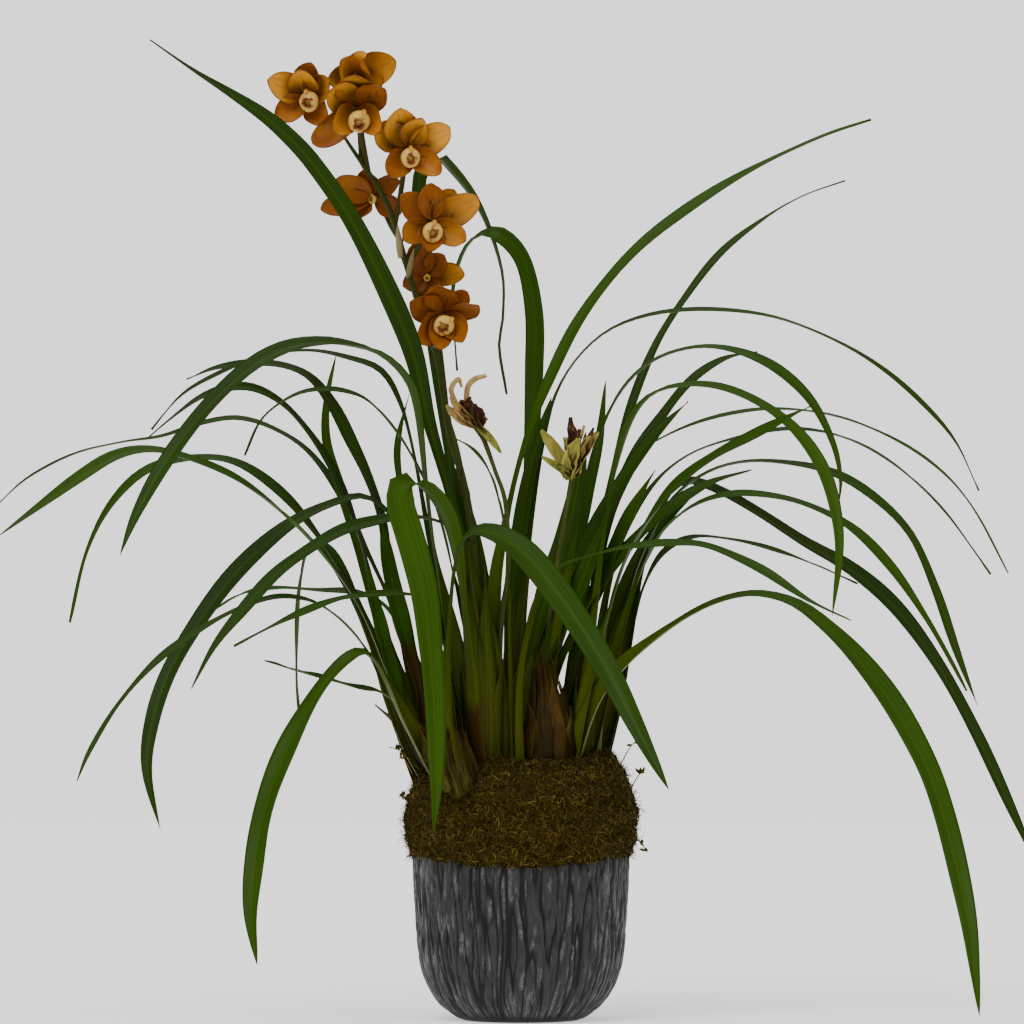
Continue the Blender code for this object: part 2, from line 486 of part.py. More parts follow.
def make_moss():
    rim_radius = POT_PROFILE[-1][0] * CM
    rim_height = POT_PROFILE[-1][1] * CM
    outer = [(radius * CM, height * CM) for radius, height in MOSS_PROFILE]
    bottom = MIX_TOP + GAP
    rings = revolve([(rim_radius - POT_WALL - GAP, bottom),
                     (rim_radius - POT_WALL - GAP, rim_height + GAP),
                     (rim_radius + GAP, rim_height + GAP)], POT_SIDES)
    hang = [(rim_radius + 2 * GAP, MOSS_HANG), (rim_radius + 0.0032, MOSS_HANG + 0.001)]
    rings += revolve(hang, POT_SIDES, moss_edge)
    rings += revolve(outer, POT_SIDES, moss_wobble)
    moss = add_object("moss", *loft(rings), MOSS_OLIVE, 0.95)
    for name, (colour, sections) in SHOOTS.items():
        add_pocket(moss, name, sections)
    add_pocket(moss, "flower_spike", [(*stop[:3], stop[3], stop[3]) for stop in SPIKE_ROUTE[:2]])


def add_pocket(moss, name, sections):
    """Cut the hole that a shoot stands in, a little wider than the shoot."""
    grow = GAP / CM
    first = sections[0]
    rings = [ellipse(first[0], first[1], first[2] - POCKET_BELOW, first[3], first[4], grow=grow)]
    rings += [ellipse(*section, grow=grow) for section in sections]
    cutter = add_object(name + "_pocket", *loft(rings), MOSS_OLIVE)
    cutter.hide_render = True
    cutter.display_type = 'WIRE'
    cut = moss.modifiers.new(name + "_pocket", 'BOOLEAN')
    cut.operation = 'DIFFERENCE'
    cut.object = cutter


def main():
    for thing in list(bpy.data.objects):
        bpy.data.objects.remove(thing)
    make_pot()
    make_mix()
    make_moss()
    for name, (colour, sections) in SHOOTS.items():
        make_shoot(name, colour, sections)
    make_stem("flower_spike", SPIKE_ROUTE, SPIKE_STEPS, SPIKE_GREEN)
    for name, stops in WITHERED_ROUTES.items():
        make_stem(name, stops, WITHERED_STEPS, WITHERED_BROWN)
    for name, (centre, radius, faces_to) in FLOWERS.items():
        make_flower(name, centre, radius, faces_to)
    for name, (widest, turns, depths, outline) in LEAVES.items():
        make_leaf(name, widest, turns, depths, outline)


main()
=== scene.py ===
import bpy
import math
import random
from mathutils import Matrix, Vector, noise


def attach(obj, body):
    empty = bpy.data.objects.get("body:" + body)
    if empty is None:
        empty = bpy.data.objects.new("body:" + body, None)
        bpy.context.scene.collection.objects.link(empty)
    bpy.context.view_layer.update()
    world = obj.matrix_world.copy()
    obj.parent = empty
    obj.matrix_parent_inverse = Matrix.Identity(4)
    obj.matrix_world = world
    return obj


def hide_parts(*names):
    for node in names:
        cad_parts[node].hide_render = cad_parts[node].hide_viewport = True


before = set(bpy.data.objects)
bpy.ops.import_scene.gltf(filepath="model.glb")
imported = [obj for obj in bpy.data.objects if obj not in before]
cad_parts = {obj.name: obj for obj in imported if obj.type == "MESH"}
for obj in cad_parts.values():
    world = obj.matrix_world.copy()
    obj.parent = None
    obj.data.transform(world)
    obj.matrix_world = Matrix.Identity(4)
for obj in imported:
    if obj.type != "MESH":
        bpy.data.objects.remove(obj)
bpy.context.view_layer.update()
cm = 0.01
scene = bpy.context.scene
print("frame loaded")


def clamp(value, low, high):
    return max(low, min(high, value))


def easeStep(low, high, value):
    t = clamp((value - low) / (high - low), 0.0, 1.0)
    return t * t * (3 - 2 * t)


def mix(a, b, share):
    return a + (b - a) * share


def throughThree(values, u):
    a, b, c = values   # the values at 0, 0.5 and 1
    return a * (1 - u) * (1 - 2 * u) + 4 * b * u * (1 - u) + c * u * (2 * u - 1)


def smoothRoute(points, steps):
    # evenly spaced points on a smooth curve through the given ones
    dense = []
    ends = [2 * points[0] - points[1], *points, 2 * points[-1] - points[-2]]
    for k in range(1, len(ends) - 2):
        p0, p1, p2, p3 = ends[k - 1:k + 3]
        for i in range(16):
            t = i / 16
            dense.append(0.5 * (2 * p1 + (p2 - p0) * t + (2 * p0 - 5 * p1 + 4 * p2 - p3) * t * t
                                + (3 * p1 - p0 - 3 * p2 + p3) * t ** 3))
    dense.append(points[-1])
    lengths = [0.0]
    for a, b in zip(dense, dense[1:]):
        lengths.append(lengths[-1] + (b - a).length)
    route = []
    k = 0
    for i in range(steps + 1):
        wanted = lengths[-1] * i / steps
        while k < len(dense) - 2 and lengths[k + 1] < wanted:
            k += 1
        share = (wanted - lengths[k]) / max(lengths[k + 1] - lengths[k], 1e-9)
        route.append(dense[k].lerp(dense[k + 1], min(share, 1.0)))
    return route


def roundAngles(sides):
    return [2 * math.pi * i / sides for i in range(sides)]


def addMesh(name, points, faces, material, uvs=None, marks=None):
    # uvs: one (u, v) for each point; marks: {attribute: one number for each point}
    mesh = bpy.data.meshes.new(name)
    mesh.from_pydata([tuple(p) for p in points], [], faces)
    if uvs:
        layer = mesh.uv_layers.new(name="UVMap")
        for loop in mesh.loops:
            layer.data[loop.index].uv = uvs[loop.vertex_index]
    for mark, values in (marks or {}).items():
        attribute = mesh.attributes.new(mark, 'FLOAT', 'POINT')
        attribute.data.foreach_set("value", values)
    mesh.shade_smooth()
    mesh.materials.append(material)
    piece = bpy.data.objects.new(name, mesh)
    scene.collection.objects.link(piece)
    return piece


def bridgeRings(count, sides, faces, first=0):
    # faces between successive closed rings of points, with the two ends closed
    for low in range(count - 1):
        for i in range(sides):
            j = (i + 1) % sides
            a = first + low * sides
            b = a + sides
            faces.append((a + i, a + j, b + j, b + i))
    faces.append(tuple(reversed(range(first, first + sides))))
    top = first + (count - 1) * sides
    faces.append(tuple(range(top, top + sides)))


def newGroup(name, inputs, outputs):
    group = bpy.data.node_groups.new(name, 'ShaderNodeTree')
    for label, kind, value in inputs:
        socket = group.interface.new_socket(name=label, in_out='INPUT', socket_type=kind)
        socket.default_value = value
    for label, kind in outputs:
        group.interface.new_socket(name=label, in_out='OUTPUT', socket_type=kind)
    return group, group.nodes.new('NodeGroupInput'), group.nodes.new('NodeGroupOutput')


def addNode(tree, kind, settings=None, **inputs):
    # inputs are given by socket name with _ for a space, or as in0, in1 ... by place
    node = tree.nodes.new(kind)
    for key, value in (settings or {}).items():
        setattr(node, key, value)
    for key, value in inputs.items():
        if key.startswith("in") and key[2:].isdigit():
            socket = node.inputs[int(key[2:])]
        else:
            socket = node.inputs[key.replace("_", " ")]
        if isinstance(value, bpy.types.NodeSocket):
            tree.links.new(value, socket)
        else:
            socket.default_value = value
    return node


def addRamp(tree, factor, stops):
    ramp = addNode(tree, 'ShaderNodeValToRGB', in0=factor)
    elements = ramp.color_ramp.elements
    while len(elements) < len(stops):
        elements.new(0.5)
    for element, (place, colour) in zip(elements, stops):
        element.position = place
        element.color = (*colour, 1.0)
    return ramp.outputs[0]


def mixColour(tree, factor, first, second, blend='MIX'):
    node = addNode(tree, 'ShaderNodeMix', {"data_type": 'RGBA', "blend_type": blend}, in0=factor)
    for place, value in ((6, first), (7, second)):
        if isinstance(value, bpy.types.NodeSocket):
            tree.links.new(value, node.inputs[place])
        else:
            node.inputs[place].default_value = (*value, 1.0)
    return node.outputs[2]


def doMath(tree, operation, first, second=0.0, clampIt=False):
    node = addNode(tree, 'ShaderNodeMath', {"operation": operation, "use_clamp": clampIt},
                   in0=first, in1=second)
    return node.outputs[0]


def swing(tree, value, amount):
    # a noise value, 0 to 1, turned into a push down or up
    return doMath(tree, 'MULTIPLY', doMath(tree, 'SUBTRACT', value, 0.5), amount)


def buildVeinGroup():
    # long parallel veins that run along a leaf or a petal, read from its own UV map
    group, given, result = newGroup("plantVeins", [
        ("Across", 'NodeSocketFloat', 30.0), ("Along", 'NodeSocketFloat', 2.0),
        ("Waver", 'NodeSocketFloat', 0.3)],
        [("Fine", 'NodeSocketFloat'), ("Broad", 'NodeSocketFloat')])
    uv = addNode(group, 'ShaderNodeUVMap', {"uv_map": "UVMap"}).outputs[0]
    parts = addNode(group, 'ShaderNodeSeparateXYZ', in0=uv)
    across = doMath(group, 'MULTIPLY', parts.outputs[1], given.outputs["Across"])
    along = doMath(group, 'MULTIPLY', parts.outputs[0], given.outputs["Along"])
    place = addNode(group, 'ShaderNodeCombineXYZ', in0=along, in1=across).outputs[0]
    fine = addNode(group, 'ShaderNodeTexNoise', {"noise_dimensions": '2D'}, Vector=place, Scale=1.0,
                   Detail=1.6, Distortion=given.outputs["Waver"])
    broadPlace = addNode(group, 'ShaderNodeVectorMath', {"operation": 'SCALE'}, in0=place)
    broadPlace.inputs["Scale"].default_value = 0.27
    broad = addNode(group, 'ShaderNodeTexNoise', {"noise_dimensions": '2D'},
                    Vector=broadPlace.outputs[0], Scale=1.0, Detail=2.0)
    group.links.new(fine.outputs[0], result.inputs["Fine"])
    group.links.new(broad.outputs[0], result.inputs["Broad"])
    return group


veinGroup = buildVeinGroup()


def newMaterial(name, roughness, gloss):
    material = bpy.data.materials.new(name)
    material.use_nodes = True
    tree = material.node_tree
    shader = tree.nodes["Principled BSDF"]
    shader.inputs["Roughness"].default_value = roughness
    shader.inputs["Specular IOR Level"].default_value = gloss
    return material, tree, shader


def placeVeins(tree, across, along, waver):
    return addNode(tree, 'ShaderNodeGroup', {"node_tree": veinGroup}, Across=across, Along=along,
                   Waver=waver).outputs


def readMark(tree, name):
    return addNode(tree, 'ShaderNodeAttribute', {"attribute_name": name}).outputs["Fac"]


def objectNoise(tree, scale, detail=3.0, stretch=(1, 1, 1)):
    place = addNode(tree, 'ShaderNodeTexCoord').outputs["Object"]
    if stretch != (1, 1, 1):
        place = addNode(tree, 'ShaderNodeMapping', Vector=place, Scale=stretch).outputs[0]
    return addNode(tree, 'ShaderNodeTexNoise', Vector=place, Scale=scale, Detail=detail).outputs[0]


def addBump(tree, shader, height, strength, distance):
    bump = addNode(tree, 'ShaderNodeBump', Strength=strength, Distance=distance, Height=height)
    tree.links.new(bump.outputs[0], shader.inputs["Normal"])


leafLook = {
    "dark": (0.012, 0.030, 0.0001), "mid": (0.020, 0.053, 0.0003), "light": (0.033, 0.078, 0.0015),
    "under": (0.031, 0.064, 0.0015), "rib": (0.048, 0.088, 0.002), "foot": (0.058, 0.070, 0.001),
    "dry": (0.036, 0.021, 0.002), "roughness": 0.46, "gloss": 0.09}


def buildLeafMaterial():
    material, tree, shader = newMaterial("leafGreen", leafLook["roughness"], leafLook["gloss"])
    veins = placeVeins(tree, 16.0, 2.0, 0.1)
    tone = readMark(tree, "tone")        # one value for each leaf, 0 dark to 1 light
    under = readMark(tree, "under")      # 1 on the lower face
    rib = readMark(tree, "rib")          # 1 on the middle vein
    dry = readMark(tree, "dry")          # brown foot and tip
    foot = readMark(tree, "foot")        # yellow-green towards the foot
    cloud = objectNoise(tree, 9.0)
    shade = doMath(tree, 'ADD', doMath(tree, 'MULTIPLY', tone, 0.55),
                   doMath(tree, 'MULTIPLY', cloud, 0.45), True)
    colour = addRamp(tree, shade, [(0.18, leafLook["dark"]), (0.55, leafLook["mid"]),
                                   (0.95, leafLook["light"])])
    colour = mixColour(tree, doMath(tree, 'MULTIPLY', under, 0.55), colour, leafLook["under"])
    streak = addRamp(tree, veins["Fine"], [(0.35, (0.72, 0.72, 0.72)), (0.65, (1.15, 1.15, 1.1))])
    colour = mixColour(tree, 0.65, colour, streak, 'MULTIPLY')
    colour = mixColour(tree, doMath(tree, 'MULTIPLY', rib, 0.35), colour, leafLook["rib"])
    colour = mixColour(tree, foot, colour, leafLook["foot"])
    spread = doMath(tree, 'ADD', doMath(tree, 'MULTIPLY', veins["Broad"], 0.9), dry)
    spread = addNode(tree, 'ShaderNodeMapRange', in0=spread, in1=0.85, in2=1.15).outputs[0]
    colour = mixColour(tree, spread, colour, leafLook["dry"])
    tree.links.new(colour, shader.inputs["Base Color"])
    rough = addNode(tree, 'ShaderNodeMapRange', in0=veins["Fine"], in1=0.2, in2=0.8,
                    in3=leafLook["roughness"] - 0.06, in4=leafLook["roughness"] + 0.1)
    tree.links.new(rough.outputs[0], shader.inputs["Roughness"])
    addBump(tree, shader, veins["Fine"], 0.2, 0.0004)
    return material


leafGreen = buildLeafMaterial()
print("leaf material made")


def newStore(*marks):
    return {"points": [], "faces": [], "uvs": [], "marks": {mark: [] for mark in marks}}


def addRings(store, rings, uvRings, markRings):
    # a closed skin over rings of equal size, added to what the store already holds
    first = len(store["points"])
    for ring, uvRing in zip(rings, uvRings):
        store["points"] += ring
        store["uvs"] += uvRing
    for mark, values in store["marks"].items():
        for k, ring in enumerate(rings):
            given = markRings[mark][k] if mark in markRings else 0.0
            values.extend(given if isinstance(given, (list, tuple)) else [given] * len(ring))
    bridgeRings(len(rings), len(rings[0]), store["faces"], first)


def storeMesh(store, name, material):
    return addMesh(name, store["points"], store["faces"], material, store["uvs"], store["marks"])


def bladeAcross(route, normals, k):
    before = route[max(k - 1, 0)]
    after = route[min(k + 1, len(route) - 1)]
    along = (after - before).normalized()
    face = normals[k]
    face = (face - along * face.dot(along)).normalized()
    return face.cross(along), face


def addBlade(store, route, halves, normals, shape, markAt):
    # shape: halfSides, thick, edge, and fold, cup and wave as functions of u
    # markAt(u, s, under) gives a dictionary of the marks at one point
    side = shape["halfSides"]
    spots = [i / side for i in range(-side, side + 1)]
    rings, uvRings = [], []
    markRings = {mark: [] for mark in store["marks"]}
    last = len(route) - 1
    for k, centre in enumerate(route):
        u = k / last
        across, face = bladeAcross(route, normals, k)
        half = halves[k]
        ring, uvRing = [], []
        marks = {mark: [] for mark in store["marks"]}
        for under in (0, 1):
            for s in (spots if under == 0 else reversed(spots)):
                fold = shape["fold"](u)
                cup = shape["cup"](u)
                rise = fold * half * (math.sqrt(s * s + 0.03) - 0.17) + cup * half * s * s
                rise += shape["wave"](u, s)
                pull = 1 / math.sqrt(1 + fold * fold * 0.5 + cup * cup * s * s)
                thick = mix(shape["thick"], shape["edge"], abs(s)) / 2
                lift = rise + (-thick if under else thick)
                ring.append(centre + across * (s * half * pull) + face * lift)
                uvRing.append((u, 0.5 + s / 2))
                given = markAt(u, s, under)
                for mark in marks:
                    marks[mark].append(given.get(mark, 0.0))
        rings.append(ring)
        uvRings.append(uvRing)
        for mark in marks:
            markRings[mark].append(marks[mark])
    addRings(store, rings, uvRings, markRings)


def addTube(store, stops, steps, sides, marks, bulge=None):
    # a round stem through (x, y, z, radius) stops in metres
    centres = smoothRoute([Vector(stop[:3]) for stop in stops], steps)
    rings, uvRings = [], []
    travel = [0.0]
    for a, b in zip(stops, stops[1:]):
        travel.append(travel[-1] + (Vector(b[:3]) - Vector(a[:3])).length)
    side = Vector((1, 0, 0))
    for k, centre in enumerate(centres):
        u = k / steps
        along = (centres[min(k + 1, steps)] - centres[max(k - 1, 0)]).normalized()
        side = (side - along * side.dot(along)).normalized()
        front = along.cross(side)
        at = u * travel[-1]
        i = 0
        while i < len(stops) - 2 and travel[i + 1] < at:
            i += 1
        share = clamp((at - travel[i]) / max(travel[i + 1] - travel[i], 1e-9), 0, 1)
        radius = mix(stops[i][3], stops[i + 1][3], share * share * (3 - 2 * share))
        if bulge:
            radius += bulge(u)
        ring = []
        for angle in roundAngles(sides):
            ring.append(centre + (side * math.cos(angle) + front * math.sin(angle)) * radius)
        rings.append(ring)
        uvRings.append([(u, j / sides) for j in range(sides)])
    addRings(store, rings, uvRings, {mark: [value] * len(rings) for mark, value in marks.items()})
    return centres


# each leaf: widest width in cm, turn of its face in degrees at foot, middle and tip
# (0 faces up, 90 faces the front), depth y in cm at foot, middle and tip, and its
# route seen from the front as (x, z) in cm from foot to tip
leafRoutes = {
    # front row
    "leaf_01": (2.4, (0, 10, 35), (-5.4, -9.5, -16), [
        (-9.4, 23.9), (-10.4, 25.9), (-11.5, 28.4), (-12.4, 30.2), (-13.5, 31), (-15, 30.2),
        (-17, 27.9), (-19, 24.5), (-20.8, 20.5), (-21.9, 17), (-22.5, 13.5), (-22.9, 9),
        (-22.4, 4.6)]),
    "leaf_02": (2.6, (0, 35, 60), (-5.3, -8.8, -14), [
        (-4.6, 26.6), (-4.8, 31), (-5.2, 37), (-6, 41.7), (-7.3, 44.2), (-8.9, 45.4),
        (-10.1, 45.2), (-10.3, 43.6), (-9.7, 41.5), (-9, 39), (-8.3, 36), (-7.9, 32.5),
        (-7.5, 28), (-7.3, 23.5), (-7.3, 19), (-7.5, 15.3)]),
    "leaf_03": (2.5, (0, 45, 50), (-7.2, -11, -19), [
        (-5.9, 26.4), (-6, 32), (-5.6, 38), (-4.5, 41), (-2.3, 41.1), (0, 39.7), (2, 37.5),
        (4, 34.8), (6, 31.8), (7.9, 28.5), (9.5, 25.3), (10.9, 22.5), (12.5, 19.4)]),
    "leaf_04": (2.5, (0, 20, 50), (-4.4, -12, -25.95), [
        (6.2, 25.8), (7, 27.5), (8.7, 29.7), (11, 31.8), (14, 34), (17, 35.4), (20, 35.9),
        (23.2, 35.1), (26, 33), (28.5, 30.5), (31, 27.3), (33, 24), (34.7, 20.5), (36, 16.5),
        (37.1, 12), (37.9, 8), (38.4, 4), (38.8, 0.2)]),
    "leaf_05": (1.1, (0, 30, 30), (-5.6, -11, -18.5), [
        (0.6, 32), (1.4, 35.3), (3, 38), (5, 39), (8, 39.8), (11, 40.2), (14, 40.3),
        (16, 40), (18.5, 39), (21, 37.7), (24.5, 35.4), (28, 33.8)]),
    # second row
    "leaf_06": (2.1, (40, 75, 30), (-2.6, -5.5, -9), [
        (-3.3, 33), (-4.4, 36.5), (-5.2, 40), (-6, 44), (-7, 47.5), (-8, 51), (-9.3, 56.6),
        (-11.5, 61.9), (-14.5, 67.8), (-17.8, 72.6), (-20, 75), (-22, 76.7), (-25, 78.7),
        (-28, 80.6), (-31.6, 83.2)]),
    "leaf_07": (2.5, (0, 15, 40), (-2.8, -8.5, -16.5), [
        (-5.6, 29), (-6.5, 34), (-7.5, 40), (-8.3, 46), (-9, 51.5), (-9.9, 54.2),
        (-12, 56.3), (-14.5, 57.1), (-17, 57.3), (-20, 56.8), (-23, 55.2), (-26, 52.5),
        (-28.6, 49.4), (-30.9, 46), (-32.8, 42.5), (-34.1, 39.3)]),
    "leaf_08": (1.0, (0, 20, 20), (0.4, 1.5, 2), [
        (-5.9, 29), (-6.9, 35), (-8.1, 42), (-9.3, 48.5), (-10.5, 52.6), (-12, 55),
        (-14.5, 56), (-18, 56.7), (-22, 56.2), (-26, 54.6), (-29, 52.8), (-31.4, 50)]),
    "leaf_09": (0.9, (0, 20, 20), (-1, -2.5, -9), [
        (-4.4, 31), (-5.6, 37), (-7, 42.6), (-8.3, 45.8), (-10.2, 49.2), (-12.5, 52),
        (-14.5, 53.1), (-17, 53.4), (-19.5, 52.8), (-22, 50.9), (-23.5, 47.8)]),
    "leaf_10": (1.1, (0, 25, 10), (-3.2, -7, -10.5), [
        (-6.3, 30.4), (-6.9, 33.6), (-8.3, 35.6), (-10.5, 36), (-13, 35.9), (-16, 35.4),
        (-20, 33.8), (-24.4, 31.6)]),
    "leaf_11": (1.1, (0, 20, 0), (-3, -4.5, -9), [
        (-9.4, 24.6), (-10.5, 26.6), (-12, 27.7), (-14, 28.1), (-16.5, 28.8), (-19, 29.5),
        (-21.8, 30.4)]),
    "leaf_12": (1.6, (0, 30, 30), (-1.5, -4, -12), [
        (-3.9, 32.6), (-4.4, 37.4), (-5.4, 40.9), (-7.2, 42.2), (-10, 42.5), (-13, 42),
        (-15.5, 41.2), (-18.5, 39.4), (-21, 37.5), (-23.6, 34.6), (-26, 31.6), (-28, 28)]),
    # third row
    "leaf_13": (1.8, (0, 20, 30), (1.2, 3, 6), [
        (-8.7, 27.5), (-9.6, 31), (-10.6, 34.5), (-11.4, 38.5), (-12, 42.5), (-13.2, 46),
        (-14.6, 49), (-16, 51.8), (-17.8, 54.2), (-20, 55.3), (-23, 55.6), (-26, 55.2),
        (-28.4, 54.3)]),
    "leaf_14": (1.6, (0, 25, 30), (2, 2.5, -1), [
        (-9.6, 26.8), (-11, 30.5), (-12.3, 35), (-13.4, 39.5), (-14.7, 43.4), (-16.2, 46.7),
        (-18.2, 49.8), (-20.3, 52.1), (-22.6, 53.4), (-24.8, 53.5), (-27.2, 52.7),
        (-29.5, 51.1), (-31.7, 49.3)]),
    "leaf_15": (1.8, (0, 20, 50), (-0.4, -4, -14), [
        (-9.7, 25.6), (-11.6, 30), (-13.8, 35), (-16.6, 39), (-20, 42.6), (-24, 45.6),
        (-28, 47.4), (-31.5, 48.2), (-34.5, 47.7), (-37.5, 45.9), (-41, 43.4), (-44.6, 40.8)]),
    "leaf_16": (1.6, (0, 25, 45), (3.6, 7, 7), [
        (-10.5, 26.4), (-12.4, 31.5), (-14.6, 36.6), (-17.4, 41), (-20.4, 44.5),
        (-24, 47), (-27.5, 47.5), (-31.5, 46.6), (-34.6, 43.8), (-36.8, 39.6), (-38.3, 33.6)]),
    "leaf_17": (1.1, (0, 20, 10), (5.4, 11, 17.5), [
        (-8.4, 28.4), (-10.5, 34), (-13, 39.4), (-15.4, 44.4), (-18, 48), (-21, 50),
        (-24, 50.9), (-27, 50.5), (-30.5, 49.4), (-34, 48.9), (-38, 47.9), (-42, 45.8),
        (-44.6, 43.5)]),
    "leaf_18": (1.0, (0, 20, 20), (-1.2, -6, -14), [
        (-10.6, 24.4), (-11.6, 27.8), (-13, 31), (-14.7, 33.2), (-16.6, 34.8),
        (-18.6, 35.6), (-21, 35.7), (-24, 34.7), (-27.5, 32.8), (-31, 30.2), (-34.2, 26.6),
        (-36.5, 22.9), (-37.7, 20.2)]),
    "leaf_19": (2.0, (0, 30, 50), (0.2, -0.5, -10.5), [
        (-7.4, 29.4), (-8.2, 34), (-9.5, 39), (-11.2, 42.7), (-13.4, 44.2), (-16, 43.6),
        (-19, 42.2), (-22, 39.9), (-25, 36.8), (-27.8, 32.9), (-30, 29), (-31.3, 25),
        (-31.7, 21), (-30.6, 16)]),
    # back rows
    "leaf_20": (1.0, (0, 20, 10), (8.2, 12.5, 15), [
        (-8.2, 27.6), (-9.6, 32), (-11.6, 35), (-14, 36.1), (-17, 36.3), (-20.5, 36.5),
        (-23.5, 36.1), (-26.2, 34.6)]),
    "leaf_21": (1.3, (0, 35, 60), (6.4, 9.5, 12), [
        (-10.8, 26.4), (-12.6, 31.5), (-14.6, 36.5), (-16.4, 39.6), (-17.9, 39.9),
        (-18.6, 37.5), (-18.9, 33.5), (-19, 29.5), (-18.8, 25.8)]),
    "leaf_22": (1.0, (0, 40, 50), (2.4, 6.5, 9), [
        (-11.2, 28.2), (-12.4, 34), (-13.8, 40), (-15.4, 45.2), (-16.5, 49), (-16.5, 52.5),
        (-15.7, 56.4)]),
    "leaf_23": (0.9, (0, 60, 60), (8.4, 12, 14), [
        (-6.9, 30), (-7.8, 35), (-9, 40), (-10.2, 45.5), (-10.4, 49), (-9.5, 53)]),
    "leaf_24": (1.5, (0, 35, 70), (7.2, 12, 16), [
        (-4.6, 32), (-5.2, 40), (-6.4, 50), (-7.9, 61), (-8.7, 68), (-8.6, 71.8),
        (-7.3, 73.3), (-5.8, 72), (-4, 69.6), (-2.6, 66.6), (-1.6, 63), (-1.6, 59.5),
        (-1.9, 57), (-1.2, 53)]),
    "leaf_25": (1.8, (0, 50, 50), (5.2, 12, 14), [
        (0, 32), (0.5, 40), (0.9, 48), (1.2, 55), (1.2, 60), (0.2, 64.5), (-2, 66.6),
        (-4.4, 65.8), (-5.7, 61.5), (-5.4, 55)]),
    # right hand side, tall ones first
    "leaf_26": (1.4, (0, 35, 20), (-0.4, 2.5, 7), [
        (-2.3, 33), (-2.1, 37.4), (-1.4, 41.4), (-0.4, 46), (0.8, 50), (2.2, 53.6),
        (4.6, 58.6), (7.4, 62.6), (10.4, 65.8), (14, 68.6), (18, 71.2), (22, 73.3),
        (26, 75.1), (29.8, 76.4)]),
    "leaf_27": (1.2, (0, 10, 45), (3.2, 6, 9), [
        (-0.2, 34), (0.4, 39), (1.1, 44), (1.9, 49), (3.2, 53.4), (5.2, 56.5), (8, 58.7),
        (12, 59.9), (17, 60.1), (22, 59.4), (27, 57.4), (31, 54.9), (34.5, 51.8),
        (37, 48.8), (38.9, 44.8)]),
    "leaf_28": (0.9, (0, 30, 10), (6.4, 12, 19), [
        (4.6, 32), (6, 39), (7.6, 45.5), (9.4, 52), (11.5, 57.2), (14, 61.2), (17, 65),
        (20.5, 67.8), (24, 69.9), (27.6, 71.2)]),
    "leaf_29": (1.0, (0, 60, 60), (3.4, 5, 6), [
        (3.2, 32.4), (4.4, 38), (5.6, 44), (6.6, 49), (7.2, 54.2)]),
    "leaf_30": (1.4, (0, 15, 60), (-1.4, -3, -9), [
        (3.3, 33), (4.4, 39.5), (5.7, 46), (7.3, 51), (9.3, 54.2), (12, 56.2), (15.5, 57),
        (19, 56.4), (22, 54.9), (24.6, 52.4), (26.4, 49), (27.1, 46), (27, 43.8)]),
    "leaf_31": (1.6, (0, 30, 20), (1.2, 2.5, 5), [
        (5.3, 31), (6.3, 37), (7.8, 43), (9.8, 47.6), (12.2, 51.3), (14.6, 54.2),
        (17.3, 56), (20.1, 56.6)]),
    "leaf_32": (1.5, (0, 15, 70), (-1.8, -5.5, -14), [
        (6.2, 32), (7, 40), (8, 46.5), (9.3, 50.6), (11.2, 53), (14, 53.7), (17, 53.5),
        (20.2, 52.2), (23.2, 50), (25.4, 47), (26.6, 43.5), (27, 39.5), (26.4, 34.2)]),
    "leaf_33": (1.9, (0, 40, 50), (-3.8, -7, -16), [
        (6.3, 29.4), (7.4, 34), (8.8, 38.6), (10.7, 42), (13.2, 45.2), (16.5, 47.7),
        (20, 49.6), (24.6, 52)]),
    "leaf_34": (0.9, (0, 10, 20), (3.8, 7, 10.5), [
        (5.9, 31.6), (6.6, 38), (7.8, 44), (9.6, 47.6), (12.6, 49.6), (16.5, 51),
        (21, 51.7), (25.5, 51.4), (30, 50), (34.5, 47.4), (38, 43.9), (41.4, 37.8)]),
    "leaf_35": (0.9, (0, 10, 20), (6.4, 11.5, 17.5), [
        (6.5, 30.8), (7.3, 36), (8.8, 41), (11.2, 45.2), (14.4, 47.9), (18.5, 49.3),
        (23, 50), (27.5, 49.3), (32, 46.8), (36, 43), (39.9, 37.7)]),
    "leaf_36": (1.6, (0, 15, 50), (0.4, 0, -7), [
        (7.4, 28.8), (8.6, 34), (10.4, 39.6), (12.8, 43.9), (15.6, 46.2), (18.8, 47.2),
        (22.5, 47.1), (26.5, 46.2), (30, 44.1), (33, 41), (35.1, 36.4), (36.9, 31.2),
        (38.7, 26.6)]),
    "leaf_37": (1.4, (0, 20, 40), (-1.9, -4.5, -10.5), [
        (7.3, 27.2), (8.4, 32), (9.8, 36.8), (11.6, 40.7), (14, 43.1), (17, 44.3),
        (20.2, 44.4), (24, 43.6), (28, 41.6), (31.4, 38.2), (34.3, 34), (36.4, 30.4),
        (37.8, 27.8)]),
    "leaf_38": (2.1, (0, 30, 40), (3, 1.5, -3.5), [
        (8.2, 27.4), (9.3, 33), (10.6, 39), (12.1, 43.6), (14, 45.5), (16.8, 44.7),
        (20, 42.9), (24, 40.3), (28, 38), (31.8, 34.7), (35.4, 29.8), (38.6, 24),
        (41.6, 17.6), (44.4, 11.6)]),
    "leaf_39": (0.9, (0, 20, 20), (5.4, 7.5, 10.5), [
        (8.6, 28.4), (9.4, 33), (10.6, 37), (12.2, 39.6), (14.5, 40.8), (17.5, 40.7),
        (21, 39.9), (25, 38.5), (28.6, 36.9)]),
    "leaf_40": (0.7, (0, 50, 50), (-4.2, -7, -10.5), [
        (-1.1, 34), (-1.1, 38), (-1.5, 42), (-2.4, 45.6), (-3.4, 47.5), (-4.6, 48.7),
        (-5.8, 49.3)]),
}

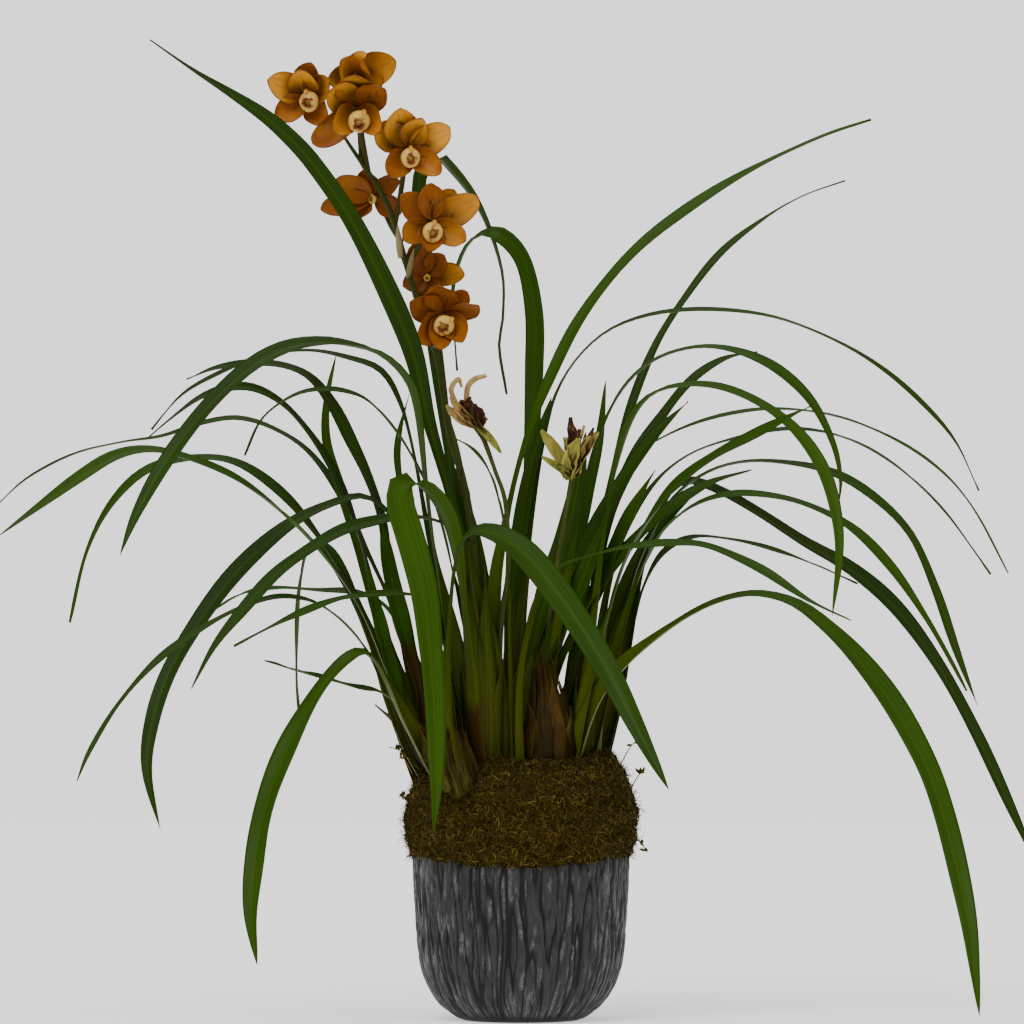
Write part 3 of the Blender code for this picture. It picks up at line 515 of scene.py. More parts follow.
# the foot's reach is a share of the first point's distance from the middle; the brown share is
# how many leaves have a brown foot, and the reaches how far the brown runs up a leaf
leafShape = {
    "steps": 60, "halfSides": 4, "thick": 0.0011, "edge": 0.0005, "fold": 0.30, "wave": 0.0009,
    "footFold": 0.75, "footReach": 0.74, "footHeight": 19.3, "footTurn": 62, "footWide": 0.98,
    "brownShare": 0.25, "brownFoot": 0.9, "paleFoot": 0.25, "brownReach": 0.13, "brownLeafReach": 0.60,
    "eyeDistance": 483, "eyeHeight": 30}

# the short inner leaves that fill the crown, in the same form as the routes above
moreLeaves = {
    "innerLeaf_1": (2.0, (10, 55, 60), (1.0, 1.6, 2.4), [
        (-0.4, 24), (0.7, 30), (2.2, 36), (3.8, 41), (4.9, 45.6), (5.5, 49.8)]),
    "innerLeaf_2": (1.9, (10, 45, 40), (0.4, 0.8, 1.2), [
        (0.5, 24), (2.1, 30), (4.4, 37), (7.4, 43.4), (10.8, 48.8), (14.2, 52.4)]),
    "innerLeaf_3": (1.7, (10, 40, 40), (-0.8, -1.6, -3.0), [
        (2.0, 26), (4.2, 32), (7.6, 38), (11.6, 42.4), (15.6, 45.2), (19.6, 46.6)]),
    "innerLeaf_4": (1.8, (10, 50, 50), (0.2, -0.6, -1.6), [
        (3.4, 25), (4.8, 31), (6.8, 37), (9.0, 42.2), (11.4, 46.6)]),
    "innerLeaf_5": (1.9, (10, 60, 60), (-0.8, -1.2, -1.6), [
        (-0.6, 24), (1.2, 28.6), (3.2, 33.0), (5.0, 36.8), (6.6, 40.6), (8.4, 45.0)]),
    "innerLeaf_6": (1.8, (10, 60, 60), (0.0, 0.4, 1.0), [
        (-2.4, 25), (-2.7, 31), (-3.5, 37), (-4.6, 42.4), (-6.0, 47.4)]),
    "innerLeaf_7": (1.5, (10, 50, 40), (3.0, 3.6, 4.4), [
        (-1.4, 26), (-1.0, 33), (-0.3, 40), (0.8, 46.5), (2.6, 52.8)]),
    "innerLeaf_8": (1.5, (10, 50, 40), (2.0, 3.4, 5.6), [
        (5.6, 26), (7.2, 32), (9.4, 37.6), (12.2, 42.2), (15.4, 45.4)]),
    "innerLeaf_9_brown": (1.7, (10, 60, 60), (-0.6, -0.4, 0.4), [
        (-8.1, 24.6), (-8.8, 28.4), (-10.1, 33.4), (-11.2, 38.2), (-11.9, 42.6)]),
    "innerLeaf_10": (1.5, (10, 55, 50), (-1.8, -1.8, -1.6), [
        (-8.2, 23), (-10.2, 27.4), (-11.8, 32.6), (-13.0, 38.2)]),
    "innerLeaf_11": (1.4, (10, 55, 50), (-2.4, -3.0, -3.6), [
        (-4.6, 22.6), (-5.2, 26), (-6.0, 29.6), (-6.9, 33.4)])}


def atDepth(x, z, depth):
    # the place at a depth that looks, from the eye, to be where the route says
    openOut = 1 + depth / leafShape["eyeDistance"]
    height = leafShape["eyeHeight"] + (z - leafShape["eyeHeight"]) * openOut
    return Vector((x * openOut, depth, height)) * cm


def leafWidth(u, widest):
    rise = easeStep(0.10, 0.5, u)
    taper = (1 - u ** 5) ** 0.8 if u < 1 else 0.0
    foot = leafShape["footWide"] * easeStep(0.34, 0.0, u)
    return widest * max(0.40 + 0.60 * rise, foot) * max(taper, 0.015)


def leafFrame(route, k):
    before = route[max(k - 1, 0)]
    after = route[min(k + 1, len(route) - 1)]
    along = (after - before).normalized()
    heading = Vector((route[-1].x - route[0].x, route[-1].y - route[0].y, 0)).normalized()
    sideways = Vector((heading.y, -heading.x, 0))
    if sideways.y > 0:
        sideways.negate()
    upper = along.cross(sideways)
    if heading.cross(sideways).z < 0:
        upper.negate()
    return sideways, upper.normalized()


def footRoute(first, second):
    # the folded foot goes on down into the moss
    base = Vector((first.x * leafShape["footReach"], first.y * leafShape["footReach"],
                   leafShape["footHeight"] * cm))
    steps = max(4, int((first - base).length / 0.012))
    bend = first - (second - first).normalized() * (first - base).length * 0.35
    return [base * (1 - t) ** 2 + 2 * bend * t * (1 - t) + first * t * t
            for t in [k / steps for k in range(steps)]]


def makeLeaf(name, widest, turns, depths, outline):
    rng = random.Random(name)
    steps = leafShape["steps"]
    flat = smoothRoute([Vector((x, 0, z)) for x, z in outline], steps)
    route = [atDepth(p.x, p.z, throughThree(depths, k / steps)) for k, p in enumerate(flat)]
    foot = footRoute(route[0], route[1])
    route = foot + route
    halves, normals = [], []
    for k in range(len(route)):
        u = max(k - len(foot), 0) / steps
        down = max(len(foot) - k, 0) / len(foot)
        halves.append(leafWidth(u, widest * cm) / 2 * (1 + 0.2 * down))
        sideways, upper = leafFrame(route, k)
        turn = throughThree(turns, u)
        turn = math.radians(mix(turn, leafShape["footTurn"], easeStep(0.34, 0.04, u)))
        normals.append(upper * math.cos(turn) + sideways * math.sin(turn))
    tone = rng.random()
    brownFoot = leafShape["brownFoot"] if rng.random() < leafShape["brownShare"] else leafShape["paleFoot"]
    brownReach = leafShape["brownReach"]
    if name.endswith("brown"):
        brownFoot, brownReach = 1.0, leafShape["brownLeafReach"]
    phase = rng.uniform(0, 6.28)
    shape = {
        "halfSides": leafShape["halfSides"], "thick": leafShape["thick"], "edge": leafShape["edge"],
        "fold": lambda u: mix(leafShape["footFold"], leafShape["fold"], easeStep(0.05, 0.40, u)),
        "cup": lambda u: 0.0,
        "wave": lambda u, s: leafShape["wave"] * abs(s) * math.sin(24 * u + phase + 1.6 * s)}

    def markAt(u, s, under):
        dryFoot = brownFoot * (1 - easeStep(brownReach * 0.5, brownReach, u))
        dryTip = 0.75 * easeStep(0.965, 1.0, u)
        return {"tone": tone, "under": float(under), "rib": max(0.0, 1 - abs(s) * 5),
                "dry": max(dryFoot, dryTip), "foot": 0.9 * (1 - easeStep(0.05, 0.34, u))}

    store = newStore("tone", "under", "rib", "dry", "foot")
    addBlade(store, route, halves, normals, shape, markAt)
    leaf = storeMesh(store, name, leafGreen)
    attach(leaf, "root")
    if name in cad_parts:
        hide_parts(name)
    return leaf


for name, (widest, turns, depths, outline) in {**leafRoutes, **moreLeaves}.items():
    makeLeaf(name, widest, turns, depths, outline)
print("leaves made")


# the profile, walls and inner floor are in cm, as (radius, height) where there are two
potShape = {
    "sides": 600, "rows": 128,
    "profile": [(4.9, 0.0), (5.7, 0.35), (7.1, 1.5), (8.2, 3.4), (8.75, 5.6),
                (9.0, 9.0), (9.2, 12.5), (9.2, 15.0)],
    "rimWall": 0.25, "wall": 0.5, "wallRise": 0.17, "innerFloor": (5.2, 0.7),
    "ridgeWidth": 0.0072, "ridgeLength": 0.085, "ridgeDepth": 0.0020, "ridgeCircle": 0.092,
    "strokeWidth": 0.0045, "strokeLength": 0.022, "patchLength": 0.06}
# streak is a painted highlight colour: the pale strokes on the crests stand in for the glaze's reflection
potLook = {"groove": (0.0015, 0.0015, 0.0015), "body": (0.0115, 0.012, 0.011),
           "crest": (0.024, 0.025, 0.024), "streak": (0.095, 0.098, 0.104), "roughness": 0.48, "gloss": 0.25}


def buildPotMaterial():
    material, tree, shader = newMaterial("slateGlaze", potLook["roughness"], potLook["gloss"])
    raised = readMark(tree, "raised")
    grit = objectNoise(tree, 420.0, 5.0, (1, 1, 0.25))
    worn = objectNoise(tree, 38.0, 4.0, (1, 1, 0.4))
    height = doMath(tree, 'ADD', raised, swing(tree, grit, 0.35))
    height = doMath(tree, 'ADD', height, swing(tree, worn, 0.4))
    colour = addRamp(tree, height, [(0.15, potLook["groove"]), (0.50, potLook["body"]),
                                    (1.0, potLook["crest"])])
    # painted highlight: pale strokes mixed onto the crests
    flecks = objectNoise(tree, 900.0, 3.0, (1, 1, 0.35))
    rubbed = doMath(tree, 'MULTIPLY', readMark(tree, "rubbed"),
                    addNode(tree, 'ShaderNodeMapRange', in0=flecks, in1=0.35, in2=0.60).outputs[0])
    colour = mixColour(tree, rubbed, colour, potLook["streak"])
    tree.links.new(colour, shader.inputs["Base Color"])
    rough = addNode(tree, 'ShaderNodeMapRange', in0=height, in1=0.0, in2=1.0, in3=0.62, in4=0.36)
    tree.links.new(rough.outputs[0], shader.inputs["Roughness"])
    addBump(tree, shader, grit, 0.5, 0.0005)
    return material


slateGlaze = buildPotMaterial()


def ridgeHeight(angle, along):
    # 0 in a groove to 1 on a crest: long upright crests that part and meet like bark
    circle = potShape["ridgeCircle"] / potShape["ridgeWidth"]
    x = circle * math.cos(angle)
    y = circle * math.sin(angle)
    z = along / potShape["ridgeLength"]
    sway = 0.5 * noise.noise(Vector((x * 0.3, y * 0.3, z * 1.6 + 7)))
    wide = abs(noise.noise(Vector((x + sway, y - sway, z))))
    narrow = abs(noise.noise(Vector((x * 1.9 + 3, y * 1.9, z * 1.7 + 11))))
    chips = noise.noise(Vector((x * 4.2, y * 4.2, z * 9.0 + 31)))
    crest = easeStep(0.0, 0.15, wide) * mix(0.55, 1.0, easeStep(0.0, 0.12, narrow))
    return clamp(crest * (0.84 + 0.30 * chips) + 0.08 * chips, 0.0, 1.0)


def rubbedShare(angle, along, crest):
    # painted highlight: short pale strokes on the crests that stand in for the glaze's glossy reflection
    circle = potShape["ridgeCircle"] / potShape["strokeWidth"]
    stroke = noise.noise(Vector((circle * math.cos(angle), circle * math.sin(angle),
                                 along / potShape["strokeLength"])))
    patch = noise.noise(Vector((3 * math.cos(angle), 3 * math.sin(angle),
                                along / potShape["patchLength"] + 4)))
    return easeStep(0.10, 0.38, stroke + 0.35 * patch) * easeStep(0.5, 0.85, crest)


def makePot():
    rows = potShape["rows"]
    sides = potShape["sides"]
    outline = smoothRoute([Vector((r, 0, z)) for r, z in potShape["profile"]], rows)
    points, faces, raised, rubbed = [], [], [], []
    travelled = 0.0
    for k, spot in enumerate(outline):
        if k:
            travelled += (spot - outline[k - 1]).length * cm
        calm = easeStep(0.001, 0.010, spot.z * cm)
        slope = outline[min(k + 1, rows)] - outline[max(k - 1, 0)]
        outward = Vector((slope.z, 0, -slope.x)).normalized()
        for angle in roundAngles(sides):
            crest = ridgeHeight(angle, travelled)
            sink = (1 - crest) * potShape["ridgeDepth"] * calm
            radius = spot.x * cm - outward.x * sink
            points.append((radius * math.cos(angle), radius * math.sin(angle),
                           max(spot.z * cm - outward.z * sink, 0.0)))
            raised.append(crest * calm)
            # painted highlight share for each point, on the crests only
            rubbed.append(rubbedShare(angle, travelled, crest) * calm)
    rim, top = potShape["profile"][-1]
    inside = [(rim - potShape["rimWall"], top)]
    for radius, height in reversed(potShape["profile"][2:-1]):
        inside.append((radius - potShape["wall"], height + potShape["wallRise"]))
    inside.append(potShape["innerFloor"])
    for radius, height in inside:
        for angle in roundAngles(sides):
            points.append((radius * cm * math.cos(angle), radius * cm * math.sin(angle), height * cm))
            raised.append(0.5)
            rubbed.append(0.0)
    count = rows + 1 + len(inside)
    bridgeRings(count, sides, faces)
    pot = addMesh("ridgedPot", points, faces, slateGlaze, None,
                  {"raised": raised, "rubbed": rubbed})
    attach(pot, "root")
    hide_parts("pot")


makePot()
print("pot made")


mixLook = {
    "bark": {"colours": [(0.02, 0.010, 0.005), (0.07, 0.035, 0.016)],
             "grain": 160.0, "roughness": 0.9, "bump": 0.002},
    "earth": {"colours": [(0.004, 0.002, 0.0002), (0.030, 0.018, 0.001), (0.09, 0.055, 0.008)],
              "grain": 520.0, "roughness": 0.95, "bump": 0.003},
    "gloss": 0.1}


def buildRoughMaterial(name, look):
    material, tree, shader = newMaterial(name, look["roughness"], mixLook["gloss"])
    grain = objectNoise(tree, look["grain"], 5.0)
    colours = look["colours"]
    stops = [(0.30 + 0.4 * k / (len(colours) - 1), colour) for k, colour in enumerate(colours)]
    tree.links.new(addRamp(tree, grain, stops), shader.inputs["Base Color"])
    addBump(tree, shader, grain, 0.8, look["bump"])
    return material


barkMix = buildRoughMaterial("barkMix", mixLook["bark"])
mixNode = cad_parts["potting_mix"]
mixNode.data.materials.clear()
mixNode.data.materials.append(barkMix)
mossEarth = buildRoughMaterial("mossEarth", mixLook["earth"])

# profile and inside are (radius, height) in cm; the inside closes round the pot's rim
mossShape = {
    "sides": 240, "rows": 84,
    "profile": [(9.45, 13.9), (9.66, 15.6), (9.78, 17.2), (9.50, 19.0), (8.75, 20.5),
                (7.6, 21.5), (6.0, 21.9), (3.5, 21.9), (0.2, 21.6)],
    "inside": [(8.6, 14.46), (8.6, 15.06), (9.26, 15.06), (9.26, 14.2)],
    "frontHang": 0.0070, "ragged": 0.0026, "finelyRagged": 0.0022, "lump": 0.0048, "sink": 0.001,
    "rise": 0.011, "dent": (-0.050, -0.078, 0.208), "dentSize": 0.021, "dentDepth": 0.013}
mossLook = {"dark": (0.008, 0.005, 0.0004), "brown": (0.050, 0.031, 0.002), "olive": (0.050, 0.048, 0.002),
            "straw": (0.25, 0.175, 0.035), "roughness": 0.85, "gloss": 0.1}


def mossEdge(angle):
    # the lower edge hangs lowest at the front
    front = max(0.0, -math.sin(angle)) ** 3
    x, y = math.cos(angle), math.sin(angle)
    ragged = mossShape["ragged"] * noise.noise(Vector((3 * x, 3 * y, 5)))
    ragged += mossShape["finelyRagged"] * noise.noise(Vector((11 * x, 11 * y, 9)))
    return -mossShape["frontHang"] * front + ragged


def makeMossMound():
    rows = mossShape["rows"]
    sides = mossShape["sides"]
    outline = smoothRoute([Vector((r, 0, z)) for r, z in mossShape["profile"]], rows)
    points, faces = [], []
    inner = mossShape["inside"]
    hangs = inner[-1][1]
    for radius, height in inner:
        for angle in roundAngles(sides):
            fall = mossEdge(angle) + mossShape["sink"] if height == hangs else 0.0
            points.append((radius * cm * math.cos(angle), radius * cm * math.sin(angle),
                           height * cm + fall))
    for k, spot in enumerate(outline):
        low = 1 - easeStep(0.0, 0.25, k / rows)
        for angle in roundAngles(sides):
            place = Vector((math.cos(angle), math.sin(angle), 0)) * spot.x * cm
            place.z = spot.z * cm + low * mossEdge(angle)
            onTheRight = easeStep(0.03, 0.075, place.x) * easeStep(0.195, 0.22, place.z)
            place.z += mossShape["rise"] * onTheRight
            lump = mossShape["lump"] * (noise.noise(place * 75) + 0.6 * noise.noise(place * 190)
                                        + 0.4 * noise.noise(place * 430))
            away = (place - Vector(mossShape["dent"])).length / mossShape["dentSize"]
            dent = mossShape["dentDepth"] * math.exp(-away * away)
            outward = Vector((place.x, place.y, 0.02 if spot.z < 20 else 0.2)).normalized()
            points.append(place + outward * (lump - mossShape["sink"] - dent))
    bridgeRings(len(inner) + rows + 1, sides, faces)
    return addMesh("mossMound", points, faces, mossEarth)


def buildMossMaterial():
    material, tree, shader = newMaterial("dryMoss", mossLook["roughness"], mossLook["gloss"])
    tone = readMark(tree, "strandTone")
    cloud = objectNoise(tree, 34.0, 2.0)
    shade = doMath(tree, 'ADD', doMath(tree, 'MULTIPLY', tone, 0.75), doMath(tree, 'MULTIPLY', cloud, 0.35))
    colour = addRamp(tree, shade, [(0.22, mossLook["dark"]), (0.50, mossLook["brown"]),
                                   (0.72, mossLook["olive"]), (0.98, mossLook["straw"])])
    tree.links.new(colour, shader.inputs["Base Color"])
    addBump(tree, shader, objectNoise(tree, 900.0, 2.0), 0.3, 0.0002)
    return material


dryMoss = buildMossMaterial()


# shares of the Lean, Length and Radius inputs
strandSpread = {"leastLean": 0.72, "shortest": 0.45, "longest": 1.3, "curlRise": 0.7, "tip": 0.35}


def buildStrandTree():
    # thin curly strands grown from random places on a surface
    tree = bpy.data.node_groups.new("curlyStrands", 'GeometryNodeTree')
    face = tree.interface
    face.new_socket(name="Surface", in_out='INPUT', socket_type='NodeSocketGeometry')
    for label, value in (("Density", 20000.0), ("Length", 0.02), ("Curl", 0.01), ("Curl Scale", 90.0),
                         ("Radius", 0.0004), ("Lean", 1.2)):
        face.new_socket(name=label, in_out='INPUT', socket_type='NodeSocketFloat').default_value = value
    for label, value in (("Segments", 8), ("Seed", 1)):
        face.new_socket(name=label, in_out='INPUT', socket_type='NodeSocketInt').default_value = value
    face.new_socket(name="Material", in_out='INPUT', socket_type='NodeSocketMaterial')
    face.new_socket(name="Strands", in_out='OUTPUT', socket_type='NodeSocketGeometry')
    given = tree.nodes.new('NodeGroupInput').outputs
    result = tree.nodes.new('NodeGroupOutput').inputs
    scatter = addNode(tree, 'GeometryNodeDistributePointsOnFaces', Mesh=given["Surface"],
                      Density=given["Density"], Seed=given["Seed"])
    line = addNode(tree, 'GeometryNodeCurvePrimitiveLine')
    line.inputs["End"].default_value = (0, 0, 1)
    resampled = addNode(tree, 'GeometryNodeResampleCurve', Curve=line.outputs[0], Count=given["Segments"])
    leanRandom = addNode(tree, 'FunctionNodeRandomValue', {"data_type": 'FLOAT'}, Seed=given["Seed"])
    leanRandom.inputs[2].default_value = strandSpread["leastLean"]
    leanRandom.inputs[3].default_value = 1.0
    lean = doMath(tree, 'MULTIPLY', leanRandom.outputs[1], given["Lean"])
    spin = addNode(tree, 'FunctionNodeRandomValue', {"data_type": 'FLOAT'},
                   Seed=doMath(tree, 'ADD', given["Seed"], 5))
    spin.inputs[2].default_value = 0.0
    spin.inputs[3].default_value = 6.283
    spinTurn = addNode(tree, 'ShaderNodeCombineXYZ', in2=spin.outputs[1])
    leanTurn = addNode(tree, 'ShaderNodeCombineXYZ', in0=lean)
    spun = addNode(tree, 'FunctionNodeRotateRotation', {"rotation_space": 'LOCAL'},
                   in0=scatter.outputs["Rotation"], in1=spinTurn.outputs[0])
    leaned = addNode(tree, 'FunctionNodeRotateRotation', {"rotation_space": 'LOCAL'},
                     in0=spun.outputs[0], in1=leanTurn.outputs[0])
    size = addNode(tree, 'FunctionNodeRandomValue', {"data_type": 'FLOAT'},
                   Seed=doMath(tree, 'ADD', given["Seed"], 9))
    size.inputs[2].default_value = strandSpread["shortest"]
    size.inputs[3].default_value = strandSpread["longest"]
    length = doMath(tree, 'MULTIPLY', size.outputs[1], given["Length"])
    planted = addNode(tree, 'GeometryNodeInstanceOnPoints', Points=scatter.outputs["Points"],
                      Instance=resampled.outputs[0], Rotation=leaned.outputs[0], Scale=length)
    shade = addNode(tree, 'FunctionNodeRandomValue', {"data_type": 'FLOAT'},
                    Seed=doMath(tree, 'ADD', given["Seed"], 13))
    marked = addNode(tree, 'GeometryNodeStoreNamedAttribute', {"data_type": 'FLOAT', "domain": 'INSTANCE'},
                     Geometry=planted.outputs[0], Name="strandTone", Value=shade.outputs[1])
    loose = addNode(tree, 'GeometryNodeRealizeInstances', in0=marked.outputs[0])
    place = addNode(tree, 'GeometryNodeInputPosition').outputs[0]
    drift = addNode(tree, 'ShaderNodeTexNoise', Vector=place, Scale=given["Curl Scale"], Detail=1.5)
    centred = addNode(tree, 'ShaderNodeVectorMath', {"operation": 'SUBTRACT'},
                      in0=drift.outputs["Color"], in1=(0.5, 0.5, 0.5))
    along = addNode(tree, 'GeometryNodeSplineParameter').outputs["Factor"]
    amount = doMath(tree, 'MULTIPLY', given["Curl"],
                    doMath(tree, 'POWER', along, strandSpread["curlRise"]))
    offset = addNode(tree, 'ShaderNodeVectorMath', {"operation": 'SCALE'}, in0=centred.outputs[0])
    tree.links.new(amount, offset.inputs["Scale"])
    curled = addNode(tree, 'GeometryNodeSetPosition', Geometry=loose.outputs[0], Offset=offset.outputs[0])
    thin = addNode(tree, 'ShaderNodeMapRange', in0=along, in3=1.0, in4=strandSpread["tip"])
    ring = addNode(tree, 'GeometryNodeCurvePrimitiveCircle', Resolution=3, Radius=given["Radius"])
    tube = addNode(tree, 'GeometryNodeCurveToMesh', Curve=curled.outputs[0], Profile_Curve=ring.outputs[0])
    tube.inputs["Fill Caps"].default_value = True
    tree.links.new(thin.outputs[0], tube.inputs["Scale"])
    finished = addNode(tree, 'GeometryNodeRealizeInstances', in0=tube.outputs[0])
    coated = addNode(tree, 'GeometryNodeSetMaterial', Geometry=finished.outputs[0],
                     Material=given["Material"])
    tree.links.new(coated.outputs[0], result[0])
    return tree


strandTree = buildStrandTree()


def growOn(base, name, tree, settings):
    # runs a node tree on a copy of the base and keeps the result as a plain mesh
    carrier = bpy.data.objects.new(name, base.data)
    scene.collection.objects.link(carrier)
    modifier = carrier.modifiers.new("grow", 'NODES')
    modifier.node_group = tree
    sockets = {item.name: item.identifier for item in tree.interface.items_tree
               if item.item_type == 'SOCKET' and item.in_out == 'INPUT'}
    for label, value in settings.items():
        modifier[sockets[label]] = value
    graph = bpy.context.evaluated_depsgraph_get()
    mesh = bpy.data.meshes.new_from_object(carrier.evaluated_get(graph), depsgraph=graph)
    carrier.modifiers.clear()
    carrier.data = mesh
    carrier.data.name = name
    return carrier


mossMound = makeMossMound()
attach(mossMound, "root")
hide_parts("moss")

mossLayers = {
    "mossFibres": {"Density": 58000.0, "Length": 0.0085, "Curl": 0.011, "Curl Scale": 230.0,
                   "Radius": 0.00034, "Lean": 1.52, "Segments": 6, "Seed": 3},
    "mossCurls": {"Density": 9000.0, "Length": 0.012, "Curl": 0.026, "Curl Scale": 210.0,
                  "Radius": 0.00024, "Lean": 1.5, "Segments": 12, "Seed": 11},
    "mossFluff": {"Density": 96000.0, "Length": 0.0042, "Curl": 0.006, "Curl Scale": 320.0,
                  "Radius": 0.00046, "Lean": 1.5, "Segments": 4, "Seed": 29}}

for name, settings in mossLayers.items():
    layer = growOn(mossMound, name, strandTree, {**settings, "Material": dryMoss})
    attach(layer, "root")
    print(name, len(layer.data.polygons), "faces")


# dry scraps that stick out of the moss, each from a root to an end in cm
scrapShape = {
    "twigs": [((-8.6, -2.0, 21.2), (-11.2, -2.6, 23.1)), ((-9.2, -1.0, 20.8), (-10.3, -1.6, 22.2)),
              ((8.4, -1.5, 21.6), (9.9, -2.2, 23.6)), ((9.3, -1.0, 19.6), (10.5, -1.5, 20.9)),
              ((9.4, -2.0, 15.4), (10.6, -2.4, 14.2)), ((-9.3, -2.5, 18.0), (-10.3, -2.9, 18.9))],
    "radii": (0.0006, 0.0005, 0.0004), "leaves": 4, "leafLength": 0.006, "leafHalf": 0.0014,
    "leafSteps": 6, "halfSides": 2, "thick": 0.0005, "edge": 0.0003,
    "fold": lambda u: 0.4, "cup": lambda u: 0.5, "wave": lambda u, s: 0.0}


def makeScraps():
    rng = random.Random("scraps")
    store = newStore("strandTone")
    steps, length = scrapShape["leafSteps"], scrapShape["leafLength"]
    halves = [scrapShape["leafHalf"] * math.sin(math.pi * (0.08 + 0.88 * k / steps))
              for k in range(steps + 1)]
    face = Vector((0.3, -1, 0.4)).normalized()
    for root, end in scrapShape["twigs"]:
        root, end = Vector(root) * cm, Vector(end) * cm
        tone = rng.uniform(0.5, 1.0)
        knee = root.lerp(end, 0.6) + Vector((0, 0, 0.004))
        stops = [(*place, radius) for place, radius in zip((root, knee, end), scrapShape["radii"])]
        addTube(store, stops, 12, 5, {"strandTone": tone})
        for _ in range(scrapShape["leaves"]):
            way = Vector((rng.uniform(-1, 1), rng.uniform(-1, 1), rng.uniform(-0.4, 1))).normalized()
            start = knee.lerp(end, rng.random())
            tip = start + way * length + Vector((0, 0, 0.001))
            route = smoothRoute([start, start + way * (length / 2), tip], steps)
            addBlade(store, route, halves, [face] * (steps + 1), scrapShape,
                     lambda u, s, under: {"strandTone": tone})
    scraps = storeMesh(store, "mossScraps", dryMoss)
    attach(scraps, "root")


makeScraps()
print("moss made")


stemLook = {"green": (0.030, 0.052, 0.001), "brown": (0.10, 0.050, 0.014), "paper": (0.28, 0.23, 0.11),
            "roughness": 0.45, "gloss": 0.12}


def buildStemMaterial():
    material, tree, shader = newMaterial("stemGreen", stemLook["roughness"], stemLook["gloss"])
    veins = placeVeins(tree, 9.0, 30.0, 0.4)
    brown = readMark(tree, "brown")
    paper = readMark(tree, "paper")
    cloud = objectNoise(tree, 60.0)
    base = mixColour(tree, cloud, stemLook["green"], [0.5 * c for c in stemLook["green"]])
    base = mixColour(tree, brown, base, stemLook["brown"])
    base = mixColour(tree, paper, base, stemLook["paper"])
    streak = addRamp(tree, veins["Fine"], [(0.3, (0.75, 0.75, 0.75)), (0.7, (1.2, 1.2, 1.1))])
    tree.links.new(mixColour(tree, 0.6, base, streak, 'MULTIPLY'), shader.inputs["Base Color"])
    addBump(tree, shader, veins["Fine"], 0.3, 0.0005)
    return material


stemGreen = buildStemMaterial()

# stops are (x, y, z, radius) in cm; a knot is a share of the length; a bract is its start, its
# tip, its width in cm, how brown and how papery it is; the last radii are a flower's stalk's
spikeShape = {
    "stops": [(-3.0, 0.6, 20.5, 0.42), (-3.3, 0.3, 24, 0.40), (-3.6, 0.2, 32, 0.37),
              (-4.0, 0.2, 40, 0.35), (-4.9, 0.2, 45.5, 0.33), (-6.1, 0.3, 50, 0.29),
              (-7.2, 0.3, 56.5, 0.26), (-9.3, 0.4, 62.5, 0.25), (-10.9, 0.5, 68, 0.24),
              (-12.3, 0.7, 70.9, 0.22), (-14.0, 0.8, 73.4, 0.18), (-15.6, 0.8, 75.8, 0.12)],
    "knots": [0.30, 0.42, 0.53, 0.64, 0.72, 0.78, 0.84, 0.89, 0.93],
    "bracts": [((-10.2, 0.0, 64.6), (-10.5, -0.3, 67.4), 0.7, 0.1, 0.9),
               ((-9.6, 0.0, 62.9), (-9.1, -0.3, 65.4), 0.6, 0.2, 0.6),
               ((-7.3, -0.1, 56.9), (-6.6, -0.4, 58.8), 0.7, 0.5, 0.3),
               ((-4.0, -0.2, 40.4), (-4.9, -0.5, 46.4), 0.8, 0.0, 0.04),
               ((-5.0, -0.2, 46.2), (-6.0, -0.4, 50.8), 0.7, 0.0, 0.04)],
    "stalkRadii": (0.0022, 0.0023, 0.0028, 0.0036)}
